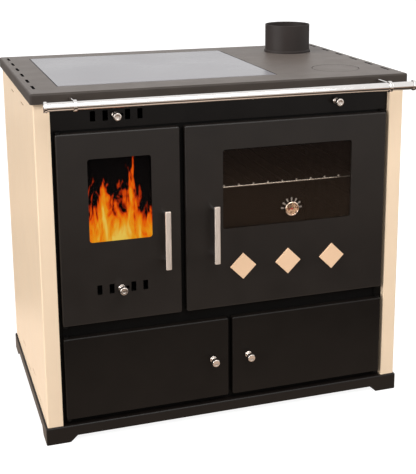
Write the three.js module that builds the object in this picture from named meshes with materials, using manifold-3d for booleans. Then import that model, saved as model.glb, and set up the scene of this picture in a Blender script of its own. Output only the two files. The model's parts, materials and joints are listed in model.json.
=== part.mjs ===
import * as THREE from 'three';
import { mergeVertices } from 'three/addons/utils/BufferGeometryUtils.js';
import Module from 'manifold-3d';

// A wood-burning kitchen range: firebox with a glazed door on the left, baking oven on the right,
// two storage compartments below, a steel worktop with a ceramic hob and a flue collar on top.
// Millimetres. X runs to the right as seen from the front, Y to the back and Z up.

// ---- Clearances ----
const seat = 0.3; // between pieces that rest on or against each other
const pinPlay = 0.3; // round a pin or stem in its hole
const past = 1; // how far a cutting or joining shape runs past a face

// ---- Worktop ----
const worktopWidth = 926;
const worktopDepth = 620;
const worktopSheet = 4;
const rimHeight = 24;
const rimWall = 3;
const rimRound = 5;
const worktopCorner = 6;
const ledgeThickness = 3.3; // supports under the hob glass and the cleaning cover
const ledgeLap = 12;
const ledgeMargin = 10;

const hobWidth = 535;
const hobDepth = 467;
const hobThickness = 4;
const hobFromLeft = 75;
const hobFromFront = 88;
const hobJoint = 1;

const coverRadius = 59.5;
const coverThickness = 3.7;
const coverUnderEdge = 1;
const coverTopEdge = 0.6;
const coverFromRight = 136;
const coverFromFront = 136;
const coverJoint = 0.8;

const flueRadius = 63; // outside of the collar's tube
const flueWall = 2.5;
const flueRise = 78;
const flueSpigot = 10;
const flueBeadOut = 2.5;
const flueBeadHeight = 7;
const flueSeatDepth = 1.5; // round seat in the worktop for the collar's bead
const flueJoint = 0.6;
const flueFromRight = 133;
const flueFromBack = 140;

const topSlotLength = 46;
const topSlotWidth = 6.5;
const topSlotCorner = 3.2;
const topSlotCount = 6;
const topSlotPitch = 94.4;
const topSlotFromEdge = 19;
const topSlotFromBack = 58;

// ---- Casing ----
const sideOverhang = 6; // worktop past the side panels
const frontOverhang = 11;
const backOverhang = 11;
const panelSheet = 2;
const columnWidth = 37; // front return of a side panel
const columnRound = 3.5;
const rearFlange = 22;
const slitLength = 45;
const slitHeight = 3;
const slitPitch = 94;
// High and low are depths below the cooking surface for the upper slits.
const upperSlits = { count: 5, fromBack: 129, high: 31, low: 55 };
// They are heights above the plinth for the lower slits.
const lowerSlits = { count: 4, fromBack: 189, high: 47.5, low: 19.5 };
const backVentCount = 7;
const backVentPitch = 100;
const backVentLength = 60;
const backVentHeight = 6;
const backVentFromEnd = 60;

// ---- Plinth ----
const plinthHeight = 42.5;
const plinthProud = 4.5;
const plinthSheet = 3;
const plinthRound = 4;
const footWidth = 57;
const footSlope = 17.5;
const archHeight = 15.5;

// ---- Front ----
const frameSetback = 16; // frame face behind the column faces
const frameSheet = 4;
const doorLap = 30; // door past the opening it closes
const controlSheet = 2;
const controlGap = 5; // above the upper doors
const bandHeight = 96; // cooking surface above the upper doors
const columnGap = 9; // door edge to column

// ---- Doors ----
const doorProud = 4; // door face ahead of the column faces
const doorThickness = 17;
const doorSheet = 3;
const doorRound = 4;
const doorCorner = 5;
const fireDoorWidth = 288;
const upperDoorGap = 12;
const lowerDoorGap = 10;
const lowerDoorHeight = 206;
const upperDoorHeight = 460;
const plinthGap = 14.5;
const rowGap = 31; // between the lower and the upper doors

const linerSheet = 2;
const glassThickness = 4;
const glassLap = 12;
const windowCorner = 7;
const lipWall = 2; // flange of the liner that holds the glass
const lipMargin = 5;
const windowBottom = 199;
const fireWindowWidth = 149;
const fireWindowHeight = 199;
const ovenWindowWidth = 336;
const ovenWindowHeight = 197;
const gasketWidth = 12;
const gasketInset = 6;
const gasketRound = 0.8;

const hingeInset = 7; // pin axis from the door's outer edge
const hingeDepth = 8; // pin axis behind the door's face
const pinRadius = 3;
const pinReach = 8;
const lugRadius = 6;
const lugThickness = 4;
const lugBack = 3;

const tabWidth = 20;
const tabThickness = 3;
const tabReach = 24; // latch tab behind the door's back
const tabFromEdge = 42;
const catchHeight = 12;
const catchDepth = 17;
const catchChamfer = 4;

// ---- Handles and knobs ----
const handleLength = 142;
const handleWidth = 16;
const handleDepth = 10;
const handleReach = 40;
const handleRound = 4;
const handleEndRound = 1.5;
const postRadius = 4.5;
const postInset = 14;
const handleMiddle = 197; // above the door's lower edge
const fireHandleFromEdge = 41;
const ovenHandleFromEdge = 67;

const knobLength = 28;
const knobRadius = 9.3;
const knobHead = 13;
const knobRound = 2;
const knobNeck = 4;
const knobBaseRadius = 8;
const knobBase = 3;
const knobDimple = 5.5;
const knobDimpleDepth = 0.8;
const stemRadius = 3;
const stemSpare = 1;
const lowerKnobFromEdge = 41;
const lowerKnobStud = 6;

// ---- Air slides ----
const airSlotWidth = 12;
const airSlotHeight = 24;
const airSlotInner = 26; // middles of the slots from the middle of the row
const airSlotOuter = 55;
const airTravel = 15;
const airPlateSheet = 2;
const airPlateHeight = 34;
const airPlateMargin = 4;
const airKnobOffset = -3;
const airGuideWall = 2;
const primaryAirHeight = 82; // above the fire door's lower edge
const secondaryAirBelowTop = 62.5;
const linerAirWidth = 130;
const linerAirHeight = 28;

// ---- Oven door trim ----
const tileSide = 47.4;
const tileThickness = 3;
const tileRound = 1;
const tilePitch = 117.5;
const tileHeight = 101;
const gaugeRadius = 18;
const gaugeProud = 7; // ahead of the glass
const gaugeOffset = 9.5;
const gaugeHeight = 234.5;
const gaugeWall = 3;
const gaugeRecess = 3.4;
const gaugeRound = 2;
const gaugeStem = 5;
const gaugeStemLength = 24;
const dialThickness = 0.8;
const needleLength = 12;
const needleWidth = 1.6;
const needleTip = 0.6;
const needleThickness = 0.7;
const needlePivot = 1;
const needleHub = 2.6;
const needlePivotLength = 4;

// ---- Towel rail ----
const railReach = 70; // rail axis ahead of the worktop
const railDrop = 18; // rail axis below the cooking surface
const railRadius = 10;
const railWall = 1.2;
const railInset = 26; // rail's end from the worktop's side
const railCapRadius = 12.5;
const railCap = 8;
const railCapRound = 2.5;
const railPlug = 15;
const ringOuter = 13.5;
const ringWidth = 9;
const ringRound = 2;
const railRodRadius = 2.8;
const railRodLift = 4; // stay above the rail's axis
const bracketInset = 86; // ring's middle from the worktop's side

// ---- Inside ----
const deckDrop = 6; // deck below the upper doors
const deckSheet = 3;
const storageDepth = 540;
const storageSheet = 2;
const fireboxDepth = 430;
const fireboxSheet = 3;
const brickThickness = 30;
const brickHeight = 282;
const brickFront = 38;
const grateHeight = 124; // ledge top above the deck
const ledgeSheet = 3;
const grateLength = 320;
const grateWidth = 210;
const grateThickness = 15;
const grateRest = 10;
const grateSlots = 9;
const grateSlotWidth = 9;
const grateSlotPitch = 19;
const grateEdge = 24;
const smokePortDepth = 300;
const smokePortHeight = 90;
const ashWidth = 170;
const ashDepth = 380;
const ashHeight = 90;
const ashSheet = 2;
const ashTab = 12;
const ashTabWidth = 60;
const ovenMargin = 14; // oven walls past the frame opening
const ovenDepth = 460;
const ovenSheet = 3;
const ovenFootInset = 40;
const runnerWidth = 16;
const runnerSheet = 3;
const runnerLength = 410;
const runnerFirst = 123; // above the oven's floor
const runnerPitch = 75;
const runnerCount = 3;
const rackPlay = 1.5;
const rackRod = 3;
const rackWire = 2;
const rackWireSink = 1; // depth the wires are let into the bars
const rackDepth = 400;
const rackFront = 20;
const rackWirePitch = 38;
const flueBoxHalf = 105;
const flueBoxSheet = 3;
const flueBoxFront = 72; // wall ahead of the flue's axis
const damperFromFlue = 50;
const damperWidth = 100;
const damperHeight = 80;
const damperLap = 10;
const damperSheet = 3;
const damperRod = 5;

// ---- Smoothness ----
const cornerSteps = 2;
const largeRound = 32;
const mediumRound = 20;
const smallRound = 12;
const tinyRound = 10;
const rackRound = 8;
const wireRound = 6;
const reach = 2000; // a cutting block that passes the whole stove

// ---- Finishes ----
const enamel = { color: 0xf0dac0, roughness: 0.3, metalness: 0.0 };
const doorBlack = { color: 0x29241f, roughness: 0.45, metalness: 0.2 };
const glossBlack = { color: 0x1b1816, roughness: 0.25, metalness: 0.2 };
const worktopGrey = { color: 0x6f6761, roughness: 0.55, metalness: 0.4 };
const flueGrey = { color: 0x413c3a, roughness: 0.6, metalness: 0.3 };
const hobGrey = { color: 0xb5b3b6, roughness: 0.08, metalness: 0.0 };
const darkGlass = { color: 0x1a120c, roughness: 0.05, metalness: 0.0 };
const chrome = { color: 0xd8d4d0, roughness: 0.1, metalness: 1.0 };
const satinSteel = { color: 0xc2b4ab, roughness: 0.3, metalness: 1.0 };
const innerSteel = { color: 0x3a3532, roughness: 0.6, metalness: 0.5 };
const galvanised = { color: 0x9a9a98, roughness: 0.45, metalness: 0.8 };
const castIron = { color: 0x2b2b2d, roughness: 0.75, metalness: 0.4 };
const fireclay = { color: 0xb89a6e, roughness: 0.95, metalness: 0.0 };
const glassRope = { color: 0x6e6a62, roughness: 0.95, metalness: 0.0 };
const ovenEnamel = { color: 0x2a1f19, roughness: 0.4, metalness: 0.0 };
const dialWhite = { color: 0xe8e2d6, roughness: 0.5, metalness: 0.0 };
const needleRed = { color: 0x8c1f18, roughness: 0.5, metalness: 0.0 };

// ---- Places worked out from the sizes ----
const lowerDoorBottom = plinthHeight + plinthGap;
const lowerDoorTop = lowerDoorBottom + lowerDoorHeight;
const upperDoorBottom = lowerDoorTop + rowGap;
const upperDoorTop = upperDoorBottom + upperDoorHeight;
const worktopHeight = upperDoorTop + bandHeight; // floor to the cooking surface

const bodyHalf = worktopWidth / 2 - sideOverhang;
const columnFront = -worktopDepth / 2 + frontOverhang;
const bodyBack = worktopDepth / 2 - backOverhang;
const innerHalf = bodyHalf - panelSheet - seat;
const plateUnderside = worktopHeight - worktopSheet;
const bodyTop = plateUnderside - seat;
const bodyBottom = plinthHeight + seat;
const frameFront = columnFront + frameSetback;
const frameBack = frameFront + frameSheet;
const insideFront = frameBack + seat;
const panelInside = bodyBack - panelSheet - seat;
const insideBack = panelInside - panelSheet - seat;

const doorFront = columnFront - doorProud;
const frontHalf = bodyHalf - columnWidth;
const doorHalf = frontHalf - columnGap;
const fireDoorRight = -doorHalf + fireDoorWidth;
const ovenDoorLeft = fireDoorRight + upperDoorGap;
const ovenDoorWidth = doorHalf - ovenDoorLeft;
const lowerDoorWidth = doorHalf - lowerDoorGap / 2;
const fireDoorMiddle = -doorHalf + fireDoorWidth / 2;
const ovenDoorMiddle = doorHalf - ovenDoorWidth / 2;
const lowerDoorMiddle = doorHalf - lowerDoorWidth / 2;
const hingeX = doorHalf - hingeInset;
const hingeY = doorFront + hingeDepth;
const gasketThickness = frameFront - doorFront - doorThickness - 2 * seat;

const controlBack = frameFront - seat;
const controlFront = controlBack - controlSheet;
const secondaryAirZ = worktopHeight - secondaryAirBelowTop;
const airSlotPlaces = [-airSlotOuter, -airSlotInner, airSlotInner, airSlotOuter];
const flueX = worktopWidth / 2 - flueFromRight;
const flueY = worktopDepth / 2 - flueFromBack;
const damperX = flueX - damperFromFlue;
const flueBoxY = flueY - flueBoxFront;
const coverX = worktopWidth / 2 - coverFromRight;
const coverY = -worktopDepth / 2 + coverFromFront;
const deckTop = upperDoorBottom - deckDrop + deckSheet;
const deckBottom = upperDoorBottom - deckDrop;
const railY = -worktopDepth / 2 - railReach;
const railZ = worktopHeight - railDrop;
const railHalf = worktopWidth / 2 - railInset;
const bracketPlace = worktopWidth / 2 - bracketInset;

const wasm = await Module();
wasm.setup();

// ---- Solids ----

function solidOf(geometry) {
  geometry.deleteAttribute('normal');
  geometry.deleteAttribute('uv');
  const welded = mergeVertices(geometry, 1e-4);
  return new wasm.Manifold(new wasm.Mesh({
    numProp: 3,
    vertProperties: welded.attributes.position.array,
    triVerts: new Uint32Array(welded.index.array),
  }));
}

function block(x0, x1, y0, y1, z0, z1) {
  const box = new THREE.BoxGeometry(x1 - x0, y1 - y0, z1 - z0);
  return solidOf(box.translate((x0 + x1) / 2, (y0 + y1) / 2, (z0 + z1) / 2));
}

// A shape is drawn in the two axes that follow the prism's own: YZ for x, XZ for y and XY for z.
const standing = {
  x: new THREE.Matrix4().set(0, 0, 1, 0, 1, 0, 0, 0, 0, 1, 0, 0, 0, 0, 0, 1),
  y: new THREE.Matrix4().set(1, 0, 0, 0, 0, 0, -1, 0, 0, 1, 0, 0, 0, 0, 0, 1),
  z: new THREE.Matrix4(),
};
const along = {
  x: new THREE.Vector3(1, 0, 0),
  y: new THREE.Vector3(0, 1, 0),
  z: new THREE.Vector3(0, 0, 1),
};

// The Y prism grows towards the front, so it starts at its far end.
function prism(axis, shape, from, to, round = 0) {
  const geometry = new THREE.ExtrudeGeometry(shape, {
    depth: to - from - 2 * round,
    bevelEnabled: round > 0,
    bevelThickness: round,
    bevelSize: round,
    bevelOffset: -round,
    bevelSegments: cornerSteps,
    curveSegments: cornerSteps,
  });
  geometry.translate(0, 0, round).applyMatrix4(standing[axis]);
  const start = along[axis].clone().multiplyScalar(axis === 'y' ? to : from);
  return solidOf(geometry.translate(start.x, start.y, start.z));
}

function rectangle(x0, x1, y0, y1, corner = 0) {
  const shape = new THREE.Shape();
  if (corner === 0) {
    return shape.moveTo(x0, y0).lineTo(x1, y0).lineTo(x1, y1).lineTo(x0, y1);
  }
  shape.absarc(x1 - corner, y0 + corner, corner, -Math.PI / 2, 0);
  shape.absarc(x1 - corner, y1 - corner, corner, 0, Math.PI / 2);
  shape.absarc(x0 + corner, y1 - corner, corner, Math.PI / 2, Math.PI);
  shape.absarc(x0 + corner, y0 + corner, corner, Math.PI, Math.PI * 1.5);
  return shape;
}

const turned = {
  x: new THREE.Matrix4().makeRotationZ(-Math.PI / 2),
  y: new THREE.Matrix4(),
  z: new THREE.Matrix4().makeRotationX(Math.PI / 2),
};

// The profile is a list of [radius, place along the axis], from the low end to the high end.
function revolve(axis, profile, steps) {
  const points = profile.map(([radius, place]) => new THREE.Vector2(radius, place));
  return solidOf(new THREE.LatheGeometry(points, steps).applyMatrix4(turned[axis]));
}

function rod(axis, radius, from, to, steps) {
  return revolve(axis, [[0, from], [radius, from], [radius, to], [0, to]], steps);
}

// A quarter round of a profile, from one angle to the other in degrees.
function bend(radius, place, round, fromAngle, toAngle) {
  return Array.from({ length: cornerSteps + 1 }, (_, i) => {
    const angle = THREE.MathUtils.degToRad(fromAngle + ((toAngle - fromAngle) * i) / cornerSteps);
    return [radius + round * Math.cos(angle), place + round * Math.sin(angle)];
  });
}

function unite(solids) {
  return solids.reduce((whole, next) => whole.add(next));
}

function cut(solid, ...tools) {
  return tools.reduce((left, tool) => left.subtract(tool), solid);
}

function piece(parent, name, solid, finish, x = 0, y = 0, z = 0) {
  const { vertProperties, triVerts } = solid.getMesh();
  const geometry = new THREE.BufferGeometry();
  geometry.setAttribute('position', new THREE.BufferAttribute(vertProperties, 3));
  geometry.setIndex(new THREE.BufferAttribute(triVerts, 1));
  geometry.computeVertexNormals();
  const material = new THREE.MeshStandardMaterial({ ...finish, flatShading: true });
  const mesh = new THREE.Mesh(geometry, material);
  mesh.name = name;
  mesh.position.set(x, y, z);
  parent.add(mesh);
  return mesh;
}

// ---- Plinth ----

function plinth() {
  const half = bodyHalf + plinthProud;
  const front = columnFront - plinthProud;
  const back = bodyBack + plinthProud;
  const whole = prism('z', rectangle(-half, half, front, back), -plinthRound, plinthHeight, plinthRound);
  const hollow = block(
    -half + plinthSheet, half - plinthSheet, front + plinthSheet, back - plinthSheet,
    -reach, plinthHeight - plinthSheet,
  );
  const pads = [[-half, front], [half - footWidth, front], [-half, back - footWidth],
    [half - footWidth, back - footWidth]];
  const footPads = unite(pads.map(([x, y]) => block(x, x + footWidth, y, y + footWidth, 0, plinthSheet)));
  const arch = (low, high) => new THREE.Shape()
    .moveTo(low + footWidth - footSlope, -archHeight)
    .lineTo(low + footWidth + footSlope, archHeight)
    .lineTo(high - footWidth - footSlope, archHeight)
    .lineTo(high - footWidth + footSlope, -archHeight);
  return cut(
    whole,
    cut(hollow, footPads),
    prism('y', arch(-half, half), front - past, back + past),
    prism('x', arch(front, back), -half - past, half + past),
    block(-reach, reach, -reach, reach, -reach, 0),
  );
}

// ---- Casing ----

// The sheet is folded round the front corner into the column and back to the frame.
function sidePanel(side) {
  const outer = side * bodyHalf;
  const inner = side * (bodyHalf - panelSheet);
  const returnX = side * frontHalf;
  const returnInner = side * (frontHalf + panelSheet);
  const flangeX = side * (bodyHalf - rearFlange);
  const fold = new THREE.Shape()
    .moveTo(flangeX, bodyBack)
    .lineTo(outer, bodyBack)
    .lineTo(outer, columnFront + columnRound)
    .quadraticCurveTo(outer, columnFront, outer - side * columnRound, columnFront)
    .lineTo(returnX, columnFront)
    .lineTo(returnX, frameFront - seat)
    .lineTo(returnInner, frameFront - seat)
    .lineTo(returnInner, columnFront + panelSheet)
    .lineTo(inner, columnFront + panelSheet)
    .lineTo(inner, bodyBack - panelSheet)
    .lineTo(flangeX, bodyBack - panelSheet);
  const slit = (y, z) => block(
    Math.min(outer, inner) - past, Math.max(outer, inner) + past,
    y - slitLength / 2, y + slitLength / 2, z - slitHeight / 2, z + slitHeight / 2,
  );
  const row = ({ count, fromBack, high, low }, level) => Array.from({ length: count }, (_, i) => (
    slit(bodyBack - fromBack - i * slitPitch, level(i % 2 === 0 ? high : low))
  ));
  return cut(
    prism('z', fold, bodyBottom, bodyTop),
    ...row(upperSlits, (depth) => worktopHeight - depth),
    ...row(lowerSlits, (height) => plinthHeight + height),
  );
}

function backPanel() {
  const sheet = block(-innerHalf, innerHalf, panelInside - panelSheet, panelInside, bodyBottom, bodyTop);
  const vents = [bodyBottom + backVentFromEnd, bodyTop - backVentFromEnd].flatMap((z) => (
    Array.from({ length: backVentCount }, (_, i) => {
      const x = (i - (backVentCount - 1) / 2) * backVentPitch;
      return block(
        x - backVentLength / 2, x + backVentLength / 2, panelInside - panelSheet - past, panelInside + past,
        z - backVentHeight / 2, z + backVentHeight / 2,
      );
    })
  ));
  return cut(sheet, ...vents);
}

// The opening behind a door that spans x0 to x1 and z0 to z1.
function opening(x0, x1, z0, z1) {
  return block(x0 + doorLap, x1 - doorLap, frameFront - past, frameBack + past, z0 + doorLap, z1 - doorLap);
}

function frontFrame() {
  const plate = block(-innerHalf, innerHalf, frameFront, frameBack, bodyBottom, bodyTop);
  const airWindow = airPlateRoom();
  return cut(
    plate,
    opening(-doorHalf, fireDoorRight, upperDoorBottom, upperDoorTop),
    opening(ovenDoorLeft, doorHalf, upperDoorBottom, upperDoorTop),
    opening(-doorHalf, -lowerDoorGap / 2, lowerDoorBottom, lowerDoorTop),
    opening(lowerDoorGap / 2, doorHalf, lowerDoorBottom, lowerDoorTop),
    block(
      fireDoorMiddle + airWindow.low, fireDoorMiddle + airWindow.high, frameFront - past, frameBack + past,
      secondaryAirZ - airWindow.half, secondaryAirZ + airWindow.half,
    ),
    rod('y', damperRod + pinPlay, frameFront - past, frameBack + past, mediumRound)
      .translate(damperX, 0, secondaryAirZ),
  );
}

function controlPanel() {
  const half = frontHalf - seat;
  const plate = block(-half, half, controlFront, controlBack, upperDoorTop + controlGap, bodyTop);
  return cut(
    plate,
    airSlots(controlFront - past, controlBack + past).translate(fireDoorMiddle, 0, secondaryAirZ),
    stemSlot(controlFront - past, controlBack + past).translate(fireDoorMiddle, 0, secondaryAirZ),
    rod('y', damperRod + pinPlay, controlFront - past, controlBack + past, mediumRound)
      .translate(damperX, 0, secondaryAirZ),
  );
}

// ---- Worktop ----

function hobOpening(grow, from, to) {
  const left = -worktopWidth / 2 + hobFromLeft;
  const front = -worktopDepth / 2 + hobFromFront;
  return block(left - grow, left + hobWidth + grow, front - grow, front + hobDepth + grow, from, to);
}

function coverDisc(radius, from, to) {
  return rod('z', radius, from, to, largeRound).translate(coverX, coverY, 0);
}

function worktop() {
  const halfWidth = worktopWidth / 2;
  const halfDepth = worktopDepth / 2;
  const rimBottom = worktopHeight - rimHeight;
  const outline = rectangle(-halfWidth, halfWidth, -halfDepth, halfDepth, worktopCorner);
  const ledgeBottom = plateUnderside - ledgeThickness;
  const pressed = cut(
    prism('z', outline, rimBottom - rimRound, worktopHeight, rimRound),
    block(-reach, reach, -reach, reach, -reach, rimBottom),
    block(
      -halfWidth + rimWall, halfWidth - rimWall, -halfDepth + rimWall, halfDepth - rimWall,
      -reach, plateUnderside,
    ),
  );
  const ledges = unite([
    hobOpening(ledgeMargin, ledgeBottom, plateUnderside),
    coverDisc(coverRadius + ledgeMargin, ledgeBottom, plateUnderside),
  ]);
  const slotShape = rectangle(
    -topSlotWidth / 2, topSlotWidth / 2, -topSlotLength / 2, topSlotLength / 2, topSlotCorner,
  );
  const slots = [-1, 1].flatMap((side) => Array.from({ length: topSlotCount }, (_, i) => (
    prism('z', slotShape, plateUnderside - past, worktopHeight + past).translate(
      side * (halfWidth - topSlotFromEdge), halfDepth - topSlotFromBack - i * topSlotPitch, 0,
    )
  )));
  const flueSeat = rod(
    'z', flueRadius + flueBeadOut + flueJoint, worktopHeight - flueSeatDepth, worktopHeight + past,
    largeRound,
  );
  return cut(
    pressed.add(ledges),
    hobOpening(hobJoint, plateUnderside, worktopHeight + past),
    hobOpening(-ledgeLap, ledgeBottom - past, worktopHeight),
    coverDisc(coverRadius + coverJoint, plateUnderside, worktopHeight + past),
    coverDisc(coverRadius - ledgeMargin, ledgeBottom - past, worktopHeight),
    rod('z', flueRadius + 2 * seat, plateUnderside - past, worktopHeight + past, largeRound)
      .translate(flueX, flueY, 0),
    flueSeat.translate(flueX, flueY, 0),
    ...slots,
  );
}

function hobGlass() {
  return hobOpening(0, plateUnderside + seat, plateUnderside + seat + hobThickness);
}

function cleaningCover() {
  const profile = [
    [0, 0], [coverRadius - coverUnderEdge, 0], [coverRadius, coverUnderEdge],
    [coverRadius, coverThickness - coverTopEdge], [coverRadius - coverTopEdge, coverThickness],
    [0, coverThickness],
  ];
  return revolve('z', profile, largeRound);
}

function flueCollar() {
  const inner = flueRadius - flueWall;
  const bead = flueRadius + flueBeadOut;
  const beadBottom = seat - flueSeatDepth;
  const profile = [
    [inner, -worktopSheet - flueSpigot], [flueRadius, -worktopSheet - flueSpigot],
    [flueRadius, beadBottom], [bead, beadBottom],
    ...bend(bead - flueBeadOut, flueBeadHeight - flueBeadOut, flueBeadOut, 0, 90),
    [flueRadius, flueRise], [inner, flueRise], [inner, -worktopSheet - flueSpigot],
  ];
  return revolve('z', profile, largeRound);
}

// ---- Towel rail, drawn about the rail's own axis ----

function towelRail() {
  const inner = railRadius - railWall;
  return revolve('x', [
    [inner, -railHalf], [railRadius, -railHalf], [railRadius, railHalf], [inner, railHalf],
    [inner, -railHalf],
  ], mediumRound);
}

function railEnd(side) {
  const plugRadius = railRadius - railWall - seat;
  const profile = [
    [0, -railPlug], [plugRadius, -railPlug], [plugRadius, seat], [railCapRadius, seat],
    ...bend(railCapRadius - railCapRound, railCap - railCapRound, railCapRound, 0, 90), [0, railCap],
  ];
  const end = revolve('x', profile, smallRound);
  return side > 0 ? end : end.rotate([0, 0, 180]);
}

function railBracket() {
  const half = ringWidth / 2;
  const bore = railRadius + pinPlay;
  const ring = revolve('x', [
    [bore, -half], ...bend(ringOuter - ringRound, -half + ringRound, ringRound, -90, 0),
    ...bend(ringOuter - ringRound, half - ringRound, ringRound, 0, 90), [bore, half], [bore, -half],
  ], mediumRound);
  const stay = rod('y', railRodRadius, bore + past, railReach - seat, tinyRound);
  return unite([ring, stay.translate(0, 0, railRodLift)]);
}

// ---- Doors, drawn about the middle of the lower front edge ----

function doorTray(width, height, hingeSide) {
  const half = width / 2;
  const outline = rectangle(-half, half, 0, height, doorCorner);
  const pinHole = rod('z', pinRadius + pinPlay, -past, height + past, tinyRound);
  return cut(
    prism('y', outline, 0, doorThickness + doorRound, doorRound),
    block(-reach, reach, doorThickness, reach, -reach, reach),
    block(-half + doorSheet, half - doorSheet, doorSheet, reach, doorSheet, height - doorSheet),
    pinHole.translate(hingeSide * (half - hingeInset), hingeDepth, 0),
  );
}

function windowShape(width, height, grow, corner) {
  return rectangle(
    -width / 2 - grow, width / 2 + grow, windowBottom - grow, windowBottom + height + grow, corner,
  );
}

function windowHole(width, height) {
  return prism('y', windowShape(width, height, 0, windowCorner), -past, doorSheet + past);
}

function doorGlass(width, height) {
  const front = doorSheet + seat;
  return prism('y', windowShape(width, height, glassLap, 0), front, front + glassThickness);
}

// Back plate with a flange round the window, which holds the glass, and the latch tab.
function doorLiner(doorWidth, windowWidth, windowHeight, hingeSide) {
  const half = doorWidth / 2 - doorSheet - seat;
  const front = doorThickness - linerSheet;
  const glassBack = doorSheet + 2 * seat + glassThickness;
  const plate = block(
    -half, half, front, doorThickness, doorSheet + seat, upperDoorHeight - doorSheet - seat,
  );
  const lipShape = windowShape(windowWidth, windowHeight, lipMargin + lipWall, 0);
  const lip = prism('y', lipShape, glassBack, front + past);
  const tabX = -hingeSide * (doorWidth / 2 - tabFromEdge);
  const tabTop = upperDoorHeight - doorLap - seat;
  const tab = block(
    tabX - tabWidth / 2, tabX + tabWidth / 2, front, doorThickness + tabReach,
    tabTop - tabThickness, tabTop,
  );
  const hole = windowShape(windowWidth, windowHeight, lipMargin, 0);
  const through = prism('y', hole, 0, doorThickness + past);
  return cut(unite([plate, lip, tab]), through);
}

function doorGasket(doorWidth) {
  const ring = (grow) => rectangle(
    -doorWidth / 2 + doorLap - grow, doorWidth / 2 - doorLap + grow,
    doorLap - grow, upperDoorHeight - doorLap + grow,
  );
  const back = doorThickness + seat;
  return cut(
    prism('y', ring(gasketInset + gasketWidth), back, back + gasketThickness, gasketRound),
    prism('y', ring(gasketInset), back - past, back + gasketThickness + past),
  );
}

function doorHandle() {
  const bar = prism(
    'z',
    rectangle(-handleWidth / 2, handleWidth / 2, -handleReach, -handleReach + handleDepth, handleRound),
    -handleLength / 2, handleLength / 2, handleEndRound,
  );
  const posts = [-1, 1].map((end) => (
    rod('y', postRadius, -handleReach + handleDepth / 2, -seat, smallRound)
      .translate(0, 0, end * (handleLength / 2 - postInset))
  ));
  return unite([bar, ...posts]);
}

// The knob stands ahead of y = 0 and its stem goes back from there.
function knob(stemLength) {
  const front = -knobLength;
  const headBack = front + knobHead;
  return revolve('y', [
    [0, front + knobDimpleDepth], [knobDimple - knobDimpleDepth, front + knobDimpleDepth],
    [knobDimple, front],
    ...bend(knobRadius - knobRound, front + knobRound, knobRound, -90, 0),
    [knobRadius, headBack - knobRound], [knobNeck, headBack],
    [knobNeck, -seat - knobBase], [knobBaseRadius, -seat - knobBase], [knobBaseRadius, -seat],
    [stemRadius, -seat], [stemRadius, stemLength], [0, stemLength],
  ], smallRound);
}

// ---- Air slides, drawn about the middle of their slots ----

function airSlots(from, to) {
  return unite(airSlotPlaces.map((x) => block(
    x - airSlotWidth / 2, x + airSlotWidth / 2, from, to, -airSlotHeight / 2, airSlotHeight / 2,
  )));
}

function stemSlot(from, to) {
  const half = stemRadius + 2 * pinPlay;
  return block(airKnobOffset - half, airKnobOffset + airTravel + half, from, to, -half, half);
}

function airPlateEnds() {
  const slotsEnd = Math.max(...airSlotPlaces) + airSlotWidth / 2 + airPlateMargin;
  return { low: -slotsEnd - airTravel, high: slotsEnd };
}

function airPlateRoom() {
  const { low, high } = airPlateEnds();
  return { low: low - seat, high: high + airTravel + seat, half: airPlateHeight / 2 + seat };
}

function airPlate() {
  const { low, high } = airPlateEnds();
  const half = airPlateHeight / 2;
  return cut(
    block(low, high, 0, airPlateSheet, -half, half),
    airSlots(-past, airPlateSheet + past),
    rod('y', stemRadius + pinPlay, -past, airPlateSheet + past, smallRound).translate(airKnobOffset, 0, 0),
  );
}

// Two ribs behind the fire door's face hold the plate between them.
function airGuides() {
  const { low, high, half } = airPlateRoom();
  const deep = doorSheet + airPlateSheet + seat;
  const rib = (z0, z1) => block(low, high, doorSheet - past, deep, z0, z1);
  return unite([rib(half, half + airGuideWall), rib(-half - airGuideWall, -half)]);
}

// ---- Hinge lugs, drawn about the pin's axis, with the frame behind ----

function lug(from, pinFrom, pinTo) {
  const back = frameFront - hingeY - seat;
  const shape = new THREE.Shape()
    .moveTo(lugRadius, back)
    .lineTo(-lugRadius, back)
    .lineTo(-lugRadius, 0)
    .absarc(0, 0, lugRadius, Math.PI, Math.PI * 2);
  return unite([
    prism('z', shape, from, from + lugThickness),
    rod('z', pinRadius, pinFrom, pinTo, tinyRound),
  ]);
}

// A lug below a door carries it on a pin that points up; one above a door guides it with a pin down.
function lugBelow(doorBottom) {
  const top = doorBottom - seat;
  return lug(top - lugThickness, top - past, doorBottom + pinReach);
}

function lugAbove(doorTop) {
  return lug(doorTop + seat, doorTop - pinReach, doorTop + seat + past);
}

function lugWeb(from, to) {
  const back = frameFront - hingeY - seat;
  return block(-lugRadius, lugRadius, back - lugBack, back, from, to);
}

function middleHinge() {
  return unite([
    lugAbove(lowerDoorTop), lugBelow(upperDoorBottom), lugWeb(lowerDoorTop + seat, upperDoorBottom - seat),
  ]);
}

function lowerHinge() {
  return unite([lugBelow(lowerDoorBottom), lugWeb(bodyBottom, lowerDoorBottom - seat)]);
}

// A sprung catch behind the frame, above the tab of the closed door.
function doorCatch() {
  const shape = new THREE.Shape()
    .moveTo(0, 0)
    .lineTo(catchDepth - catchChamfer, 0)
    .lineTo(catchDepth, catchChamfer)
    .lineTo(catchDepth, catchHeight)
    .lineTo(0, catchHeight);
  return prism('x', shape, -tabWidth / 2, tabWidth / 2);
}

// ---- Oven door trim ----

function diamondTile() {
  const half = tileSide / 2;
  return cut(
    prism('y', rectangle(-half, half, -half, half), -tileThickness - seat, tileRound, tileRound),
    block(-reach, reach, -seat, reach, -reach, reach),
  );
}

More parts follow.
